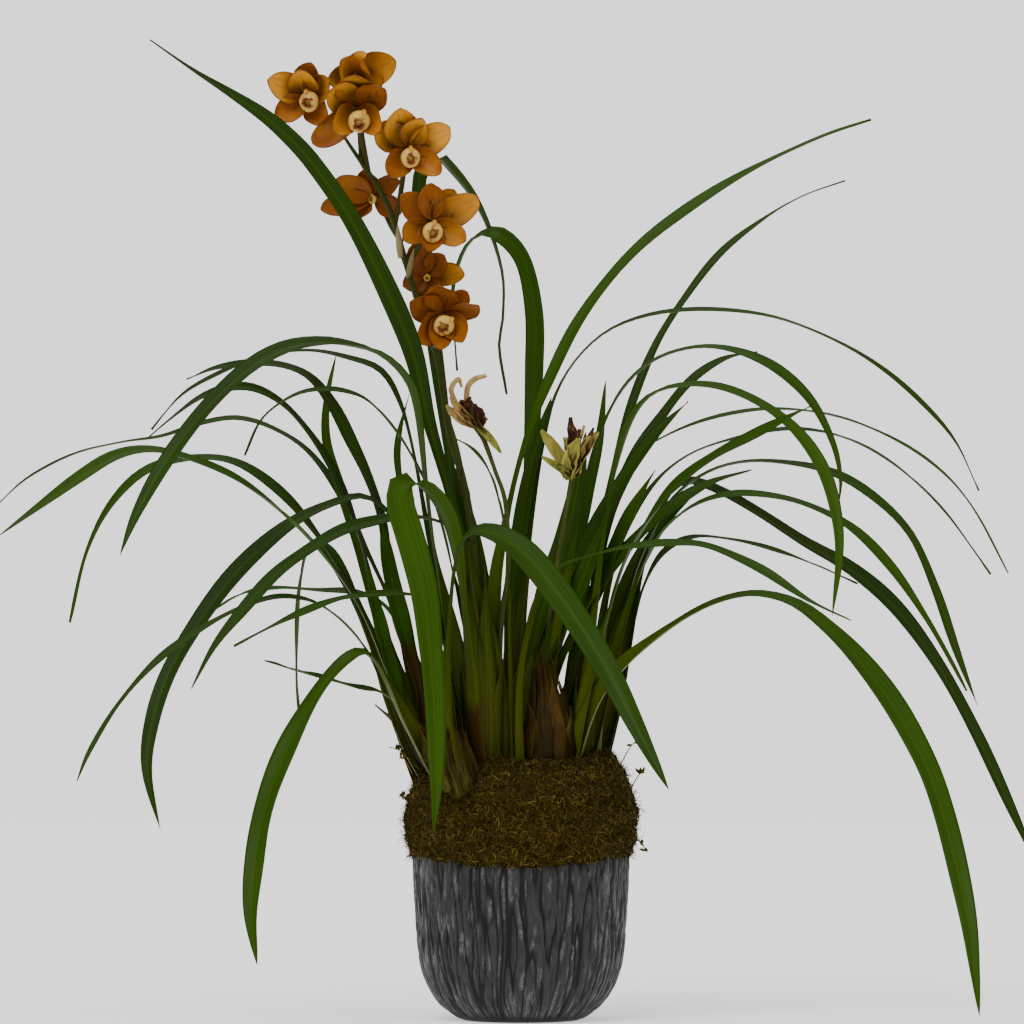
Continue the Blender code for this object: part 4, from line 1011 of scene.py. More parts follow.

# heart and the petals' ends as (x, y, z) in cm; a petal then has its width in cm, how far it
# bellies out behind, its turn in degrees and how much rust colour it takes (0 gold, 1 rust), which is partly
# the sepals' own rust and partly painted shade on petals that lie in shadow
flowerPlan = {
    "flower_1": {
        "heart": (-18.2, -0.9, 78.2), "faces": (-0.35, -1.0, -0.05), "lip": (-17.9, -1.7, 77.8, 0.89, -10),
        "leaves": (-15.0, 0.8, 74.9),
        "petals": [(-21.5, -2.4, 79.5, 2.5, 0.7, 10, 0.15), (-20.8, -2.2, 76.2, 2.2, 0.4, -10, 0.75),
                   (-17.9, -2.4, 81.0, 2.6, 0.9, 0, 0.75), (-18.9, -3.4, 80.2, 2.7, 1.2, 0, 0.1),
                   (-16.2, -3.0, 79.3, 2.4, 1.0, 0, 0.5), (-16.6, -2.2, 75.9, 2.2, 0.6, 0, 0.8)]},
    "flower_2": {
        "heart": (-13.9, -1.2, 77.4), "faces": (0.05, -1.0, -0.35), "lip": (-13.7, -2.6, 76.1, 0.96, 25),
        "leaves": (-13.0, 0.8, 72.0),
        "petals": [(-14.0, -4.6, 79.7, 3.3, 1.6, 0, 0.35), (-16.3, -4.2, 78.3, 2.9, 1.4, 0, 0.2),
                   (-11.5, -4.2, 78.6, 2.6, 1.2, 0, 0.75), (-15.7, -4.0, 74.9, 2.4, 1.2, 0, 0.45),
                   (-12.0, -3.9, 74.9, 2.3, 1.0, 0, 0.6), (-17.7, -1.2, 74.2, 2.4, -0.3, 0, 0.8)]},
    "flower_3": {
        "heart": (-9.6, -1.2, 73.7), "faces": (0.15, -1.0, -0.10), "lip": (-9.4, -2.1, 73.0, 0.85, 0),
        "leaves": (-10.7, 0.5, 67.6),
        "petals": [(-10.3, -3.2, 77.0, 3.1, 1.3, 0, 0.15), (-12.4, -2.6, 75.6, 2.7, 0.9, 0, 0.35),
                   (-6.0, -2.4, 75.5, 2.6, 0.5, 10, 0.05), (-11.2, -2.9, 71.4, 2.3, 0.5, 0, 0.8),
                   (-6.8, -2.9, 71.6, 2.2, 0.5, 0, 0.7), (-8.4, -3.4, 76.2, 2.3, 1.1, 0, 0.3)]},
    "flower_4": {
        "heart": (-12.6, 1.9, 69.9), "faces": (-0.55, -0.8, 0.15), "lip": (-12.6, 1.4, 69.7, 0.39, 0),
        "leaves": (-10.2, 0.5, 66.0),
        "petals": [(-15.9, 0.6, 71.2, 2.2, 0.6, 0, 0.75), (-17.1, 0.9, 68.8, 2.1, 0.6, 0, 0.90),
                   (-13.4, 1.2, 72.3, 2.2, 0.6, 0, 0.9), (-10.4, 1.5, 71.4, 2.0, 0.4, 0, 0.9),
                   (-10.2, 1.6, 68.6, 1.9, 0.3, 0, 0.9), (-14.5, 1.2, 67.9, 2.2, 0.5, 0, 0.8)]},
    "flower_5": {
        "heart": (-7.6, -1.0, 67.6), "faces": (0.12, -1.0, -0.12), "lip": (-7.5, -1.9, 66.7, 0.89, 8),
        "leaves": (-9.8, 0.4, 64.0),
        "petals": [(-7.5, -3.0, 70.7, 2.3, 1.0, 0, 0.85), (-10.2, -2.5, 69.7, 2.4, 0.9, 0, 0.85),
                   (-3.6, -2.2, 69.5, 2.6, 0.6, 0, 0.40), (-10.0, -2.6, 66.0, 2.2, 0.8, 0, 0.7),
                   (-4.7, -2.8, 65.8, 2.2, 0.7, 0, 0.6), (-5.6, -1.4, 70.3, 2.0, 0.5, 0, 0.2),
                   (-7.6, -3.1, 64.9, 2.1, 0.8, 0, 0.9)]},
    "flower_6": {
        "heart": (-8.0, 1.7, 63.2), "faces": (-0.1, -1.0, 0.05), "lip": (-8.0, 1.2, 63.0, 0.31, 0),
        "leaves": (-8.7, 0.4, 61.0),
        "petals": [(-9.2, 0.7, 65.8, 2.3, 0.4, 0, 0.9), (-4.8, 1.0, 63.3, 2.0, 0.4, 0, 0.25),
                   (-10.0, 0.8, 62.2, 2.0, 0.4, 0, 0.9), (-6.5, 0.6, 64.8, 2.2, 0.5, 0, 0.8),
                   (-7.4, 0.8, 61.0, 2.2, 0.5, 0, 0.9)]},
    "flower_7": {
        "heart": (-6.5, -1.0, 59.9), "faces": (0.05, -1.0, -0.25), "lip": (-6.5, -2.1, 58.8, 0.89, 48),
        "leaves": (-7.4, 0.3, 57.4),
        "petals": [(-6.9, -3.8, 62.0, 2.8, 1.2, 0, 0.85), (-9.4, -3.1, 60.6, 2.6, 0.9, 0, 0.85),
                   (-3.6, -2.7, 60.4, 2.1, 0.6, 30, 0.9), (-8.6, -3.2, 57.2, 2.4, 0.9, 0, 0.8),
                   (-4.9, -3.2, 57.3, 2.3, 0.9, 0, 0.7), (-4.5, -1.4, 61.6, 1.8, 0.4, 0, 0.9),
                   (-6.9, -3.4, 56.6, 2.1, 0.9, 0, 0.8)]},
    "flower_8": {
        "heart": (-13.9, 1.6, 80.0), "faces": (0.10, -1.0, 0.25), "lip": (-14.2, 1.0, 79.8, 0.54, 0),
        "leaves": (-13.6, 0.8, 72.9),
        "petals": [(-10.7, -0.6, 81.4, 3.0, 0.6, 0, 0.30), (-15.3, -1.6, 81.3, 2.9, 1.0, 0, 0.0),
                   (-13.3, -1.4, 81.5, 2.7, 0.9, 0, 0.05), (-16.4, -0.8, 79.6, 2.5, 0.8, 0, 0.05),
                   (-11.9, -0.5, 79.0, 2.4, 0.6, 0, 0.5), (-14.2, -1.2, 78.4, 2.2, 0.6, 0, 0.4)]}}
# heart is painted shade: the petals are darkened towards the flower's heart
petalLook = {"heart": (0.16, 0.062, 0.004), "gold": (0.72, 0.320, 0.020), "rust": (0.24, 0.068, 0.006),
             "rim": (0.13, 0.030, 0.003), "back": (0.25, 0.068, 0.006), "vein": (0.30, 0.090, 0.006),
             "roughness": 0.45, "gloss": 0.15}
lipLook = {"cream": (0.66, 0.42, 0.085), "yellow": (0.50, 0.22, 0.016), "mark": (0.14, 0.026, 0.004),
           "roughness": 0.42, "gloss": 0.2}


def buildPetalMaterial():
    material, tree, shader = newMaterial("petalOrange", petalLook["roughness"], petalLook["gloss"])
    veins = placeVeins(tree, 14.0, 3.0, 0.6)
    reach = readMark(tree, "reach")       # 0 at the flower's heart to 1 at a petal's end
    edge = readMark(tree, "edge")         # 1 on a petal's rim
    back = readMark(tree, "back")         # 1 on the outer face
    # 0 gold to 1 rust: partly the sepals' own rust colour, partly painted shade
    rustAndShade = readMark(tree, "rustAndShade")
    cloud = objectNoise(tree, 60.0, 4.0)
    drift = swing(tree, cloud, 0.9)
    # painted shade: dark at the flower's heart, turning gold towards the petals' ends
    colour = addRamp(tree, doMath(tree, 'ADD', reach, drift),
                     [(0.15, petalLook["heart"]), (0.72, petalLook["gold"])])
    # the rust mix is partly real sepal colour and partly painted shade
    turned = addNode(tree, 'ShaderNodeMapRange', in0=doMath(tree, 'ADD', rustAndShade, drift), in1=0.15, in2=0.85)
    colour = mixColour(tree, turned.outputs[0], colour, petalLook["rust"])
    vein = addRamp(tree, veins["Fine"], [(0.42, (0.0, 0.0, 0.0)), (0.68, (1.0, 1.0, 1.0))])
    colour = mixColour(tree, doMath(tree, 'MULTIPLY', vein, 0.30), colour, petalLook["vein"])
    colour = mixColour(tree, doMath(tree, 'MULTIPLY', back, 0.75), colour, petalLook["back"])
    colour = mixColour(tree, doMath(tree, 'MULTIPLY', edge, 0.75), colour, petalLook["rim"])
    tree.links.new(colour, shader.inputs["Base Color"])
    addBump(tree, shader, veins["Fine"], 0.35, 0.0006)
    return material


def buildLipMaterial():
    material, tree, shader = newMaterial("lipCream", lipLook["roughness"], lipLook["gloss"])
    reach = readMark(tree, "reach")       # 0 at the back, 1 at the mouth, 2 deep inside
    blotch = objectNoise(tree, 300.0, 3.0)
    shade = doMath(tree, 'ADD', reach, swing(tree, blotch, 0.5))
    half = doMath(tree, 'MULTIPLY', shade, 0.5)
    colour = addRamp(tree, half, [(0.0, lipLook["yellow"]), (0.22, lipLook["cream"]),
                                  (0.43, lipLook["cream"]), (0.50, lipLook["mark"]),
                                  (0.60, lipLook["mark"]), (0.72, lipLook["cream"])])
    tree.links.new(colour, shader.inputs["Base Color"])
    addBump(tree, shader, blotch, 0.25, 0.0004)
    return material


petalOrange = buildPetalMaterial()
lipCream = buildLipMaterial()
petalShape = {"steps": 22, "halfSides": 7, "thick": 0.0011, "edge": 0.0007, "cup": 0.55, "frill": 0.0012,
              "wider": 1.16}


def petalHalf(u, width):
    # a blunt spoon: narrow at the heart, widest past the middle, round at its end
    v = u ** 0.85
    oval = (1 - abs(2 * v - 1) ** 2.4) ** 0.5
    return width / 2 * max(0.03, oval * mix(0.72, 1.0, easeStep(0.0, 0.45, u)))


def addPetal(store, plan, petal, rng):
    x, y, z, width, belly, turn, rustAndShade = petal
    heart = Vector(plan["heart"]) * cm
    end = Vector((x, y, z)) * cm
    faces = Vector(plan["faces"]).normalized()
    along = (end - heart).normalized()
    root = heart + along * 0.0015
    outward = (along - faces * along.dot(faces)).normalized()
    bend = root.lerp(end, 0.45) - faces * belly * cm + outward * belly * 0.5 * cm
    steps = petalShape["steps"]
    route, halves = [], []
    for k in range(steps + 1):
        u = 1 - (1 - k / steps) ** 1.25
        route.append(root * (1 - u) ** 2 + 2 * bend * u * (1 - u) + end * u * u)
        halves.append(petalHalf(u, width * cm * petalShape["wider"]))
    across = along.cross(faces).normalized()
    spin = math.radians(turn + rng.uniform(-6, 6))
    normals = [faces * math.cos(spin) + across * math.sin(spin)] * (steps + 1)
    phase = rng.uniform(0, 6.28)
    pitch = rng.uniform(6.0, 10.0)
    shape = {
        "halfSides": petalShape["halfSides"], "thick": petalShape["thick"], "edge": petalShape["edge"],
        "fold": lambda u: 0.12 * (1 - u), "cup": lambda u: petalShape["cup"] * mix(1.0, 0.55, u),
        "wave": lambda u, s: petalShape["frill"] * abs(s) ** 3 * math.sin(pitch * u + phase + 2.5 * s)}
    addBlade(store, route, halves, normals, shape, lambda u, s, under: {
        "reach": u, "edge": max(easeStep(0.80, 1.0, abs(s)), easeStep(0.93, 1.0, u)),
        "back": float(under), "rustAndShade": rustAndShade})


# a rounded pouch with a small round mouth low in its front, in sizes of the lip: the stations
# are (how far ahead, radius, how far the ring's middle sits below, reach), where reach is 1 at
# the mouth; the column over it has (ahead, lift, radius)
lipShape = {
    "stations": [(-0.55, 0.30, -0.10, 0.0), (-0.35, 0.62, -0.05, 0.2), (-0.05, 0.88, 0.0, 0.4),
                 (0.25, 0.98, 0.02, 0.55), (0.52, 0.92, 0.04, 0.7), (0.76, 0.74, 0.08, 0.82),
                 (0.90, 0.54, 0.12, 0.93), (0.95, 0.42, 0.14, 1.0), (0.90, 0.33, 0.15, 1.1),
                 (0.72, 0.30, 0.15, 1.2), (0.45, 0.28, 0.12, 1.3), (0.25, 0.10, 0.10, 1.6)],
    "column": [(-0.5, 0.30, 0.2), (0.0, 0.80, 0.22), (0.45, 0.98, 0.22), (0.80, 0.84, 0.19),
               (0.94, 0.68, 0.06)],
    "sides": 26, "chin": 0.22, "stretch": 0.25, "frill": 0.03}


def makeLip(name, plan):
    x, y, z, size, roll = plan["lip"]
    size *= cm
    forward = Vector(plan["faces"]).normalized()
    right = forward.cross(Vector((0, 0, 1))).normalized()
    up = right.cross(forward)
    spin = math.radians(roll)
    right, up = (right * math.cos(spin) + up * math.sin(spin),
                 up * math.cos(spin) - right * math.sin(spin))
    middle = Vector((x, y, z)) * cm
    sides = lipShape["sides"]
    store = newStore("reach")
    rings, uvRings, reach = [], [], []
    for ahead, radius, drop, value in lipShape["stations"]:
        ring = []
        for angle in roundAngles(sides):
            low = max(0.0, -math.cos(angle))
            front = max(0.0, ahead)
            stretch = 1 + lipShape["stretch"] * low * front
            frill = lipShape["frill"] * math.sin(5 * angle + 1) * front
            chin = lipShape["chin"] * front * math.cos(angle) * low
            place = middle + forward * size * (ahead + chin)
            place += right * math.sin(angle) * size * (radius + frill)
            place += up * size * (math.cos(angle) * (radius * stretch + frill) - drop)
            ring.append(place)
        rings.append(ring)
        uvRings.append([(value / 2, j / sides) for j in range(sides)])
        reach.append(value)
    addRings(store, rings, uvRings, {"reach": reach})
    stops = []
    for ahead, lift, radius in lipShape["column"]:
        place = middle + forward * ahead * size + up * lift * size
        stops.append((*place, radius * size))
    addTube(store, stops, 16, 12, {"reach": 0.1})
    lip = storeMesh(store, name + "_lip", lipCream)
    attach(lip, "root")


def makeFlower(name, plan):
    rng = random.Random(name)
    store = newStore("reach", "edge", "back", "rustAndShade")
    for petal in plan["petals"]:
        addPetal(store, plan, petal, rng)
    flower = storeMesh(store, name, petalOrange)
    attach(flower, "root")
    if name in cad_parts:
        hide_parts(name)
    makeLip(name, plan)


def addStalk(store, plan):
    forward = Vector(plan["faces"]).normalized()
    heart = Vector(plan["heart"])
    start = Vector(plan["leaves"])
    back = heart - forward * 0.9
    bend = start.lerp(back, 0.5) + Vector((0, 0.4, -0.3))
    places = (start, bend, back, heart + forward * 0.1)
    stops = [(*(place * cm), radius) for place, radius in zip(places, spikeShape["stalkRadii"])]
    addTube(store, stops, 20, 10, {"brown": 0.35, "paper": 0.0})


def addBract(store, start, tip, width, brown, paper):
    # a small papery scale that clasps the stem
    start, tip = Vector(start) * cm, Vector(tip) * cm
    middle = start.lerp(tip, 0.5) + Vector((0, -0.0025, 0))
    route = smoothRoute([start, middle, tip], 10)
    normals = [Vector((0.2, -1, 0.1)).normalized()] * len(route)
    halves = [max(0.0002, width * cm / 2 * math.sin(math.pi * min(0.98, 0.25 + 0.75 * k / 10)) ** 0.7)
              for k in range(11)]
    shape = {"halfSides": 3, "thick": 0.0005, "edge": 0.0003, "fold": lambda u: 0.2,
             "cup": lambda u: -0.7, "wave": lambda u, s: 0.0}
    addBlade(store, route, halves, normals, shape,
             lambda u, s, under: {"brown": brown, "paper": paper})


def makeSpike():
    store = newStore("brown", "paper")

    def bulge(u):
        return sum(0.0006 * math.exp(-((u - knot) / 0.006) ** 2) for knot in spikeShape["knots"])

    addTube(store, [tuple(v * cm for v in stop) for stop in spikeShape["stops"]], 160, 16,
            {"brown": 0.12, "paper": 0.0}, bulge)
    for plan in flowerPlan.values():
        addStalk(store, plan)
    for bract in spikeShape["bracts"]:
        addBract(store, *bract)
    spike = storeMesh(store, "flowerSpike", stemGreen)
    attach(spike, "root")
    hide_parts("flower_spike")


makeSpike()
for name, plan in flowerPlan.items():
    makeFlower(name, plan)
print("flowers made")


# sections up each shoot as (x, y, z, half width, half depth) in cm; "sheaths" are
# (side in degrees from the front, foot height, top height, share of the width, lean in cm)
shootPlan = {
    "shoot_front_left": {"brown": 0.62, "fibres": 170, "sections": [
        (-4.8, -5.9, 18.6, 1.0, 1.3), (-5.4, -6.0, 20.4, 1.7, 1.5), (-6.2, -5.6, 22.5, 1.9, 1.4),
        (-6.6, -5.3, 25.4, 0.9, 0.7)],
        "sheaths": [(-40, 19.4, 25.9, 0.8, 0.6), (35, 19.4, 25.2, 0.8, 0.5), (0, 19.0, 24.6, 0.8, 0.3),
                    (-75, 20.6, 24.9, 0.7, 0.9), (80, 20.4, 24.4, 0.7, 0.5)]},
    "shoot_middle_left": {"brown": 0.0, "fibres": 0, "sections": [
        (-3.1, -1.8, 20, 1.3, 1.0), (-3.2, -2.0, 24, 1.4, 1.1), (-3.3, -2.2, 29, 1.3, 1.0),
        (-3.5, -2.3, 34, 0.9, 0.7)],
        "sheaths": [(-35, 20.4, 40.5, 1.0, 0.4), (30, 20.4, 38.6, 1.0, 0.5), (-8, 20.4, 33.6, 0.95, 0.3),
                    (65, 20.4, 31.0, 0.8, 0.7), (-75, 20.4, 31.4, 0.8, 0.7), (150, 20.4, 36.0, 1.0, 0.4)]},
    "shoot_middle": {"brown": 0.05, "fibres": 0, "sections": [
        (-0.5, 1.8, 20, 1.4, 1.3), (-0.2, 2.0, 24, 1.5, 1.2), (0.8, 2.1, 28, 1.4, 1.0),
        (2.4, 2.2, 32, 1.0, 0.7)],
        "sheaths": [(-25, 20.4, 37.0, 1.0, 0.4), (28, 20.4, 38.2, 1.0, 0.8), (0, 20.4, 33.0, 0.95, 0.5),
                    (70, 20.4, 34.0, 0.9, 1.0), (-75, 20.4, 31.5, 0.9, 0.7), (180, 20.4, 34.0, 1.0, 0.5)]},
    "shoot_old": {"brown": 1.0, "fibres": 110, "sections": [
        (2.4, -2.8, 20, 1.8, 1.5), (2.5, -2.9, 22.5, 2.1, 1.6), (2.4, -2.9, 25, 1.7, 1.4),
        (2.1, -2.8, 28, 1.0, 0.8), (1.7, -2.8, 31, 0.3, 0.25)],
        "sheaths": [(-20, 20.4, 30.6, 0.75, 0.0), (30, 20.4, 29.0, 0.8, 0.3), (-65, 20.4, 27.6, 0.7, 0.5),
                    (75, 20.4, 26.6, 0.7, 0.6), (5, 20.4, 26.8, 0.8, 0.2)]},
    "shoot_right": {"brown": 0.0, "fibres": 0, "sections": [
        (5.4, -0.6, 20, 1.1, 1.0), (5.5, -0.7, 23, 1.1, 1.0), (5.7, -0.8, 27, 0.9, 0.8),
        (6.2, -0.9, 30.4, 0.5, 0.5)],
        "sheaths": [(-25, 20.4, 34.2, 1.0, 0.3), (30, 20.4, 35.4, 1.0, 0.7), (0, 20.4, 30.0, 0.95, 0.4),
                    (75, 20.4, 30.6, 0.8, 0.9), (-80, 20.4, 29.0, 0.8, 0.5)]},
    "shoot_back_left": {"brown": 0.8, "fibres": 24, "sections": [
        (-5.8, 2.4, 20, 1.5, 2.0), (-6.4, 2.6, 21, 1.4, 2.1), (-7.6, 2.8, 23, 1.3, 2.0),
        (-9.0, 3.0, 25.2, 0.9, 1.3)],
        "sheaths": [(-30, 20.4, 27.6, 0.9, 1.0), (20, 20.4, 28.4, 0.9, 0.5), (-90, 20.4, 26.6, 1.0, 1.6),
                    (180, 20.4, 28.8, 0.9, 0.9), (140, 20.4, 27.0, 0.9, 0.6)]},
    "shoot_back_right": {"brown": 0.25, "fibres": 0, "sections": [
        (4.6, 4.4, 20, 1.3, 1.6), (5.0, 4.6, 22, 1.2, 1.5), (5.4, 4.8, 26, 1.0, 1.2),
        (6.0, 5.0, 29.6, 0.6, 0.8)],
        "sheaths": [(-20, 20.4, 32.4, 0.9, 0.4), (30, 20.4, 33.4, 0.9, 0.8), (90, 20.4, 29.8, 0.9, 1.2),
                    (180, 20.4, 32.0, 0.9, 0.6), (-120, 20.4, 30.0, 0.9, 0.4)]}}
sheathLook = {"foot": (0.085, 0.088, 0.003), "green": (0.030, 0.062, 0.002), "brown": (0.050, 0.027, 0.002),
              "dark": (0.018, 0.010, 0.001), "straw": (0.17, 0.110, 0.013), "roughness": 0.55,
              "gloss": 0.12}


def buildSheathMaterial():
    material, tree, shader = newMaterial("sheathSkin", sheathLook["roughness"], sheathLook["gloss"])
    veins = placeVeins(tree, 26.0, 2.2, 0.25)
    brown = readMark(tree, "brown")
    high = readMark(tree, "high")         # 0 at the moss to 1 at the tip
    edge = readMark(tree, "edge")         # 1 on the papery rim
    green = mixColour(tree, high, sheathLook["foot"], sheathLook["green"])
    cloud = objectNoise(tree, 70.0, 4.0, (1, 1, 0.25))
    husk = addRamp(tree, cloud, [(0.34, sheathLook["dark"]), (0.55, sheathLook["brown"]),
                                 (0.80, sheathLook["straw"])])
    spread = doMath(tree, 'ADD', brown, swing(tree, cloud, 0.9))
    turned = addNode(tree, 'ShaderNodeMapRange', in0=spread, in1=0.35, in2=0.65).outputs[0]
    colour = mixColour(tree, turned, green, husk)
    streak = addRamp(tree, veins["Fine"], [(0.36, (0.55, 0.55, 0.55)), (0.62, (1.2, 1.2, 1.15))])
    colour = mixColour(tree, 0.6, colour, streak, 'MULTIPLY')
    colour = mixColour(tree, doMath(tree, 'MULTIPLY', edge, 0.35), colour, sheathLook["straw"])
    tree.links.new(colour, shader.inputs["Base Color"])
    addBump(tree, shader, veins["Fine"], 0.7, 0.0012)
    return material


sheathSkin = buildSheathMaterial()


def shootAt(sections, z):
    # the section of a shoot at a height, between its given sections
    if z <= sections[0][2]:
        return sections[0]
    for low, high in zip(sections, sections[1:]):
        if z <= high[2]:
            share = (z - low[2]) / (high[2] - low[2])
            return tuple(mix(a, b, share) for a, b in zip(low, high))
    x, y, top, halfWidth, halfDepth = sections[-1]
    before = sections[-2]
    share = (z - top) / (top - before[2])
    return (x + (x - before[0]) * share, y + (y - before[1]) * share, z,
            halfWidth * 0.9 ** (z - top), halfDepth * 0.9 ** (z - top))


def onShoot(sections, angle, z, out):
    # a place beside a shoot's skin; the angle runs from the front round to the right
    x, y, _, halfWidth, halfDepth = shootAt(sections, z)
    side = Vector((math.sin(angle) * (halfWidth + out), -math.cos(angle) * (halfDepth + out), 0))
    return Vector((x, y, z)) * cm + side * cm, side.normalized()


# lift and lap: cm off the skin, and more for each sheath that lies under; the fibres' heights,
# in cm, and angles, in radians, are the ranges they are drawn from
sheathShape = {
    "steps": 22, "halfSides": 5, "thick": 0.0010, "edge": 0.0004, "wave": 0.0006, "lift": 0.06,
    "lap": 0.05, "sway": 0.12, "pointsFrom": 0.62}
fibreShape = {"steps": 7, "sides": 3, "foot": 0.00060, "tip": 0.00022, "angle": 1.7, "sway": 0.25,
              "footRise": (0.3, 2.6), "lift": 0.22, "loose": 0.30}


def addSheath(store, sections, sheath, brown, order, rng):
    degrees, low, high, share, lean = sheath
    steps = sheathShape["steps"]
    route, normals, halves = [], [], []
    sway = rng.uniform(-sheathShape["sway"], sheathShape["sway"])
    for k in range(steps + 1):
        u = k / steps
        z = mix(low, high, u)
        angle = math.radians(degrees) + sway * u
        out = sheathShape["lift"] + sheathShape["lap"] * order + lean * u ** 2.2
        place, side = onShoot(sections, angle, z, out)
        route.append(place)
        normals.append(side)
        halfWidth, halfDepth = shootAt(sections, z)[3:]
        wide = max(mix(halfWidth, halfDepth, abs(math.sin(angle))), 0.55) * share
        point = (1 - easeStep(sheathShape["pointsFrom"], 1.0, u) ** 1.3) if u < 1 else 0.0
        halves.append(max(0.0004, wide * cm * (1.1 - 0.25 * u) * point))
    phase = rng.uniform(0, 6.28)
    shape = {
        **sheathShape, "fold": lambda u: -0.05, "cup": lambda u: mix(-0.75, -0.35, u),
        "wave": lambda u, s: sheathShape["wave"] * abs(s) * math.sin(15 * u + phase + s)}
    addBlade(store, route, halves, normals, shape, lambda u, s, under: {
        "brown": clamp(brown + 0.5 * easeStep(0.85, 1.0, u), 0, 1), "high": u,
        "edge": easeStep(0.86, 1.0, abs(s))})


def addFibre(store, sections, rng):
    # one torn thread that hangs on beside the skin
    angle = rng.uniform(-fibreShape["angle"], fibreShape["angle"])
    low = sections[0][2] + rng.uniform(*fibreShape["footRise"])
    top = mix(low + 1.5, sections[-1][2] + 0.5, rng.random())
    stops = []
    sway = rng.uniform(-fibreShape["sway"], fibreShape["sway"])
    for k in range(4):
        u = k / 3
        out = fibreShape["lift"] + rng.uniform(0, fibreShape["loose"]) * u
        place, _ = onShoot(sections, angle + sway * u, mix(low, top, u), out)
        stops.append((*place, mix(fibreShape["foot"], fibreShape["tip"], u)))
    addTube(store, stops, fibreShape["steps"], fibreShape["sides"],
            {"brown": 1.0, "high": rng.random(), "edge": 2.0 * rng.random() ** 2})


def makeShoot(name, plan):
    rng = random.Random(name)
    store = newStore("brown", "high", "edge")
    sections = plan["sections"]
    rings, uvRings, high = [], [], []
    sides, rows = 28, 26
    bottom, top = sections[0][2], sections[-1][2]
    for k in range(rows + 1):
        z = mix(bottom, top, k / rows)
        x, y, _, halfWidth, halfDepth = shootAt(sections, z)
        close = max(0.05, (1 - easeStep(0.86, 1.0, k / rows)))
        ring = []
        for angle in roundAngles(sides):
            ridge = 1 + 0.035 * math.sin(9 * angle + 3 * math.sin(z)) * plan["brown"]
            ring.append(Vector((x + halfWidth * close * ridge * math.cos(angle),
                                y + halfDepth * close * ridge * math.sin(angle), z)) * cm)
        rings.append(ring)
        uvRings.append([(k / rows, 3 * j / sides) for j in range(sides)])
        high.append(k / rows)
    addRings(store, rings, uvRings, {"brown": [plan["brown"]] * len(rings), "high": high})
    for order, sheath in enumerate(plan["sheaths"]):
        addSheath(store, sections, sheath, plan["brown"], len(plan["sheaths"]) - order, rng)
    for _ in range(plan["fibres"]):
        addFibre(store, sections, rng)
    shoot = storeMesh(store, name, sheathSkin)
    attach(shoot, "root")
    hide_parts(name)


for name, plan in shootPlan.items():
    makeShoot(name, plan)
print("shoots made")


# stalk and curl stops are (x, y, z, radius) in cm; a shrunk petal is its end (x, y, z), its
# width, how pale it is and how olive it is
witheredPlan = {
    "withered_flower_left": {
        "stalk": [(-1.7, -0.4, 20.6, 0.26), (-1.9, -0.6, 27, 0.26), (-1.7, -1.0, 33.6, 0.25),
                  (-1.1, -2.6, 38, 0.22), (-1.3, -3.4, 43.5, 0.20), (-2.2, -3.6, 46.4, 0.18),
                  (-3.1, -3.7, 48.9, 0.22), (-3.7, -3.7, 50.3, 0.46), (-4.3, -3.7, 51.9, 0.34)],
        "heart": (-3.7, -3.7, 50.2),
        "petals": [(-6.3, -4.2, 51.9, 1.2, 1.0, 0.1), (-6.0, -4.5, 52.6, 1.0, 0.9, 0.1),
                   (-4.3, -4.4, 52.6, 1.5, 0.0, 0.0), (-5.2, -3.3, 52.3, 1.4, 0.1, 0.0),
                   (-4.0, -4.6, 52.0, 1.2, 0.0, 0.0), (-1.7, -3.9, 47.9, 0.9, 0.6, 1.0)],
        "curls": [[(-5.4, -4.0, 52.0, 0.16), (-5.9, -4.1, 53.2, 0.22), (-5.3, -4.1, 54.1, 0.20),
                   (-5.0, -4.0, 53.4, 0.12)],
                  [(-4.6, -3.9, 52.2, 0.26), (-4.5, -4.0, 53.4, 0.24), (-3.9, -4.0, 54.1, 0.24),
                   (-2.9, -4.0, 54.4, 0.16)]]},
    "withered_flower_right": {
        "stalk": [(1.8, 0.2, 20.6, 0.26), (2.0, 0.3, 27, 0.26), (2.4, 0.2, 33, 0.25),
                  (3.0, -1.4, 38, 0.22), (3.8, -3.0, 43, 0.20), (4.2, -3.3, 45.2, 0.24),
                  (4.4, -3.4, 46.3, 0.34), (4.5, -3.4, 47.2, 0.30)],
        "heart": (4.4, -3.4, 46.0),
        "petals": [(1.7, -3.8, 49.8, 1.5, 0.9, 0.75), (1.7, -3.9, 47.6, 0.9, 0.7, 1.0),
                   (2.9, -4.0, 46.5, 1.1, 0.6, 0.9), (4.9, -4.6, 49.1, 1.8, 1.0, 0.8),
                   (6.5, -3.6, 49.6, 1.5, 0.9, 0.6), (3.6, -3.1, 49.2, 1.5, 0.8, 0.8),
                   (4.1, -4.0, 50.9, 1.4, 0.0, 0.0), (5.0, -3.7, 49.9, 1.3, 0.0, 0.0),
                   (6.1, -3.9, 50.0, 1.0, 0.0, 0.0)],
        "curls": [[(4.6, -3.9, 48.2, 0.20), (5.1, -4.0, 49.4, 0.14), (5.3, -4.0, 50.2, 0.12)]]}}
witheredLook = {"dark": (0.055, 0.013, 0.004), "tan": (0.50, 0.31, 0.11), "olive": (0.36, 0.36, 0.06),
                "roughness": 0.7, "gloss": 0.25}


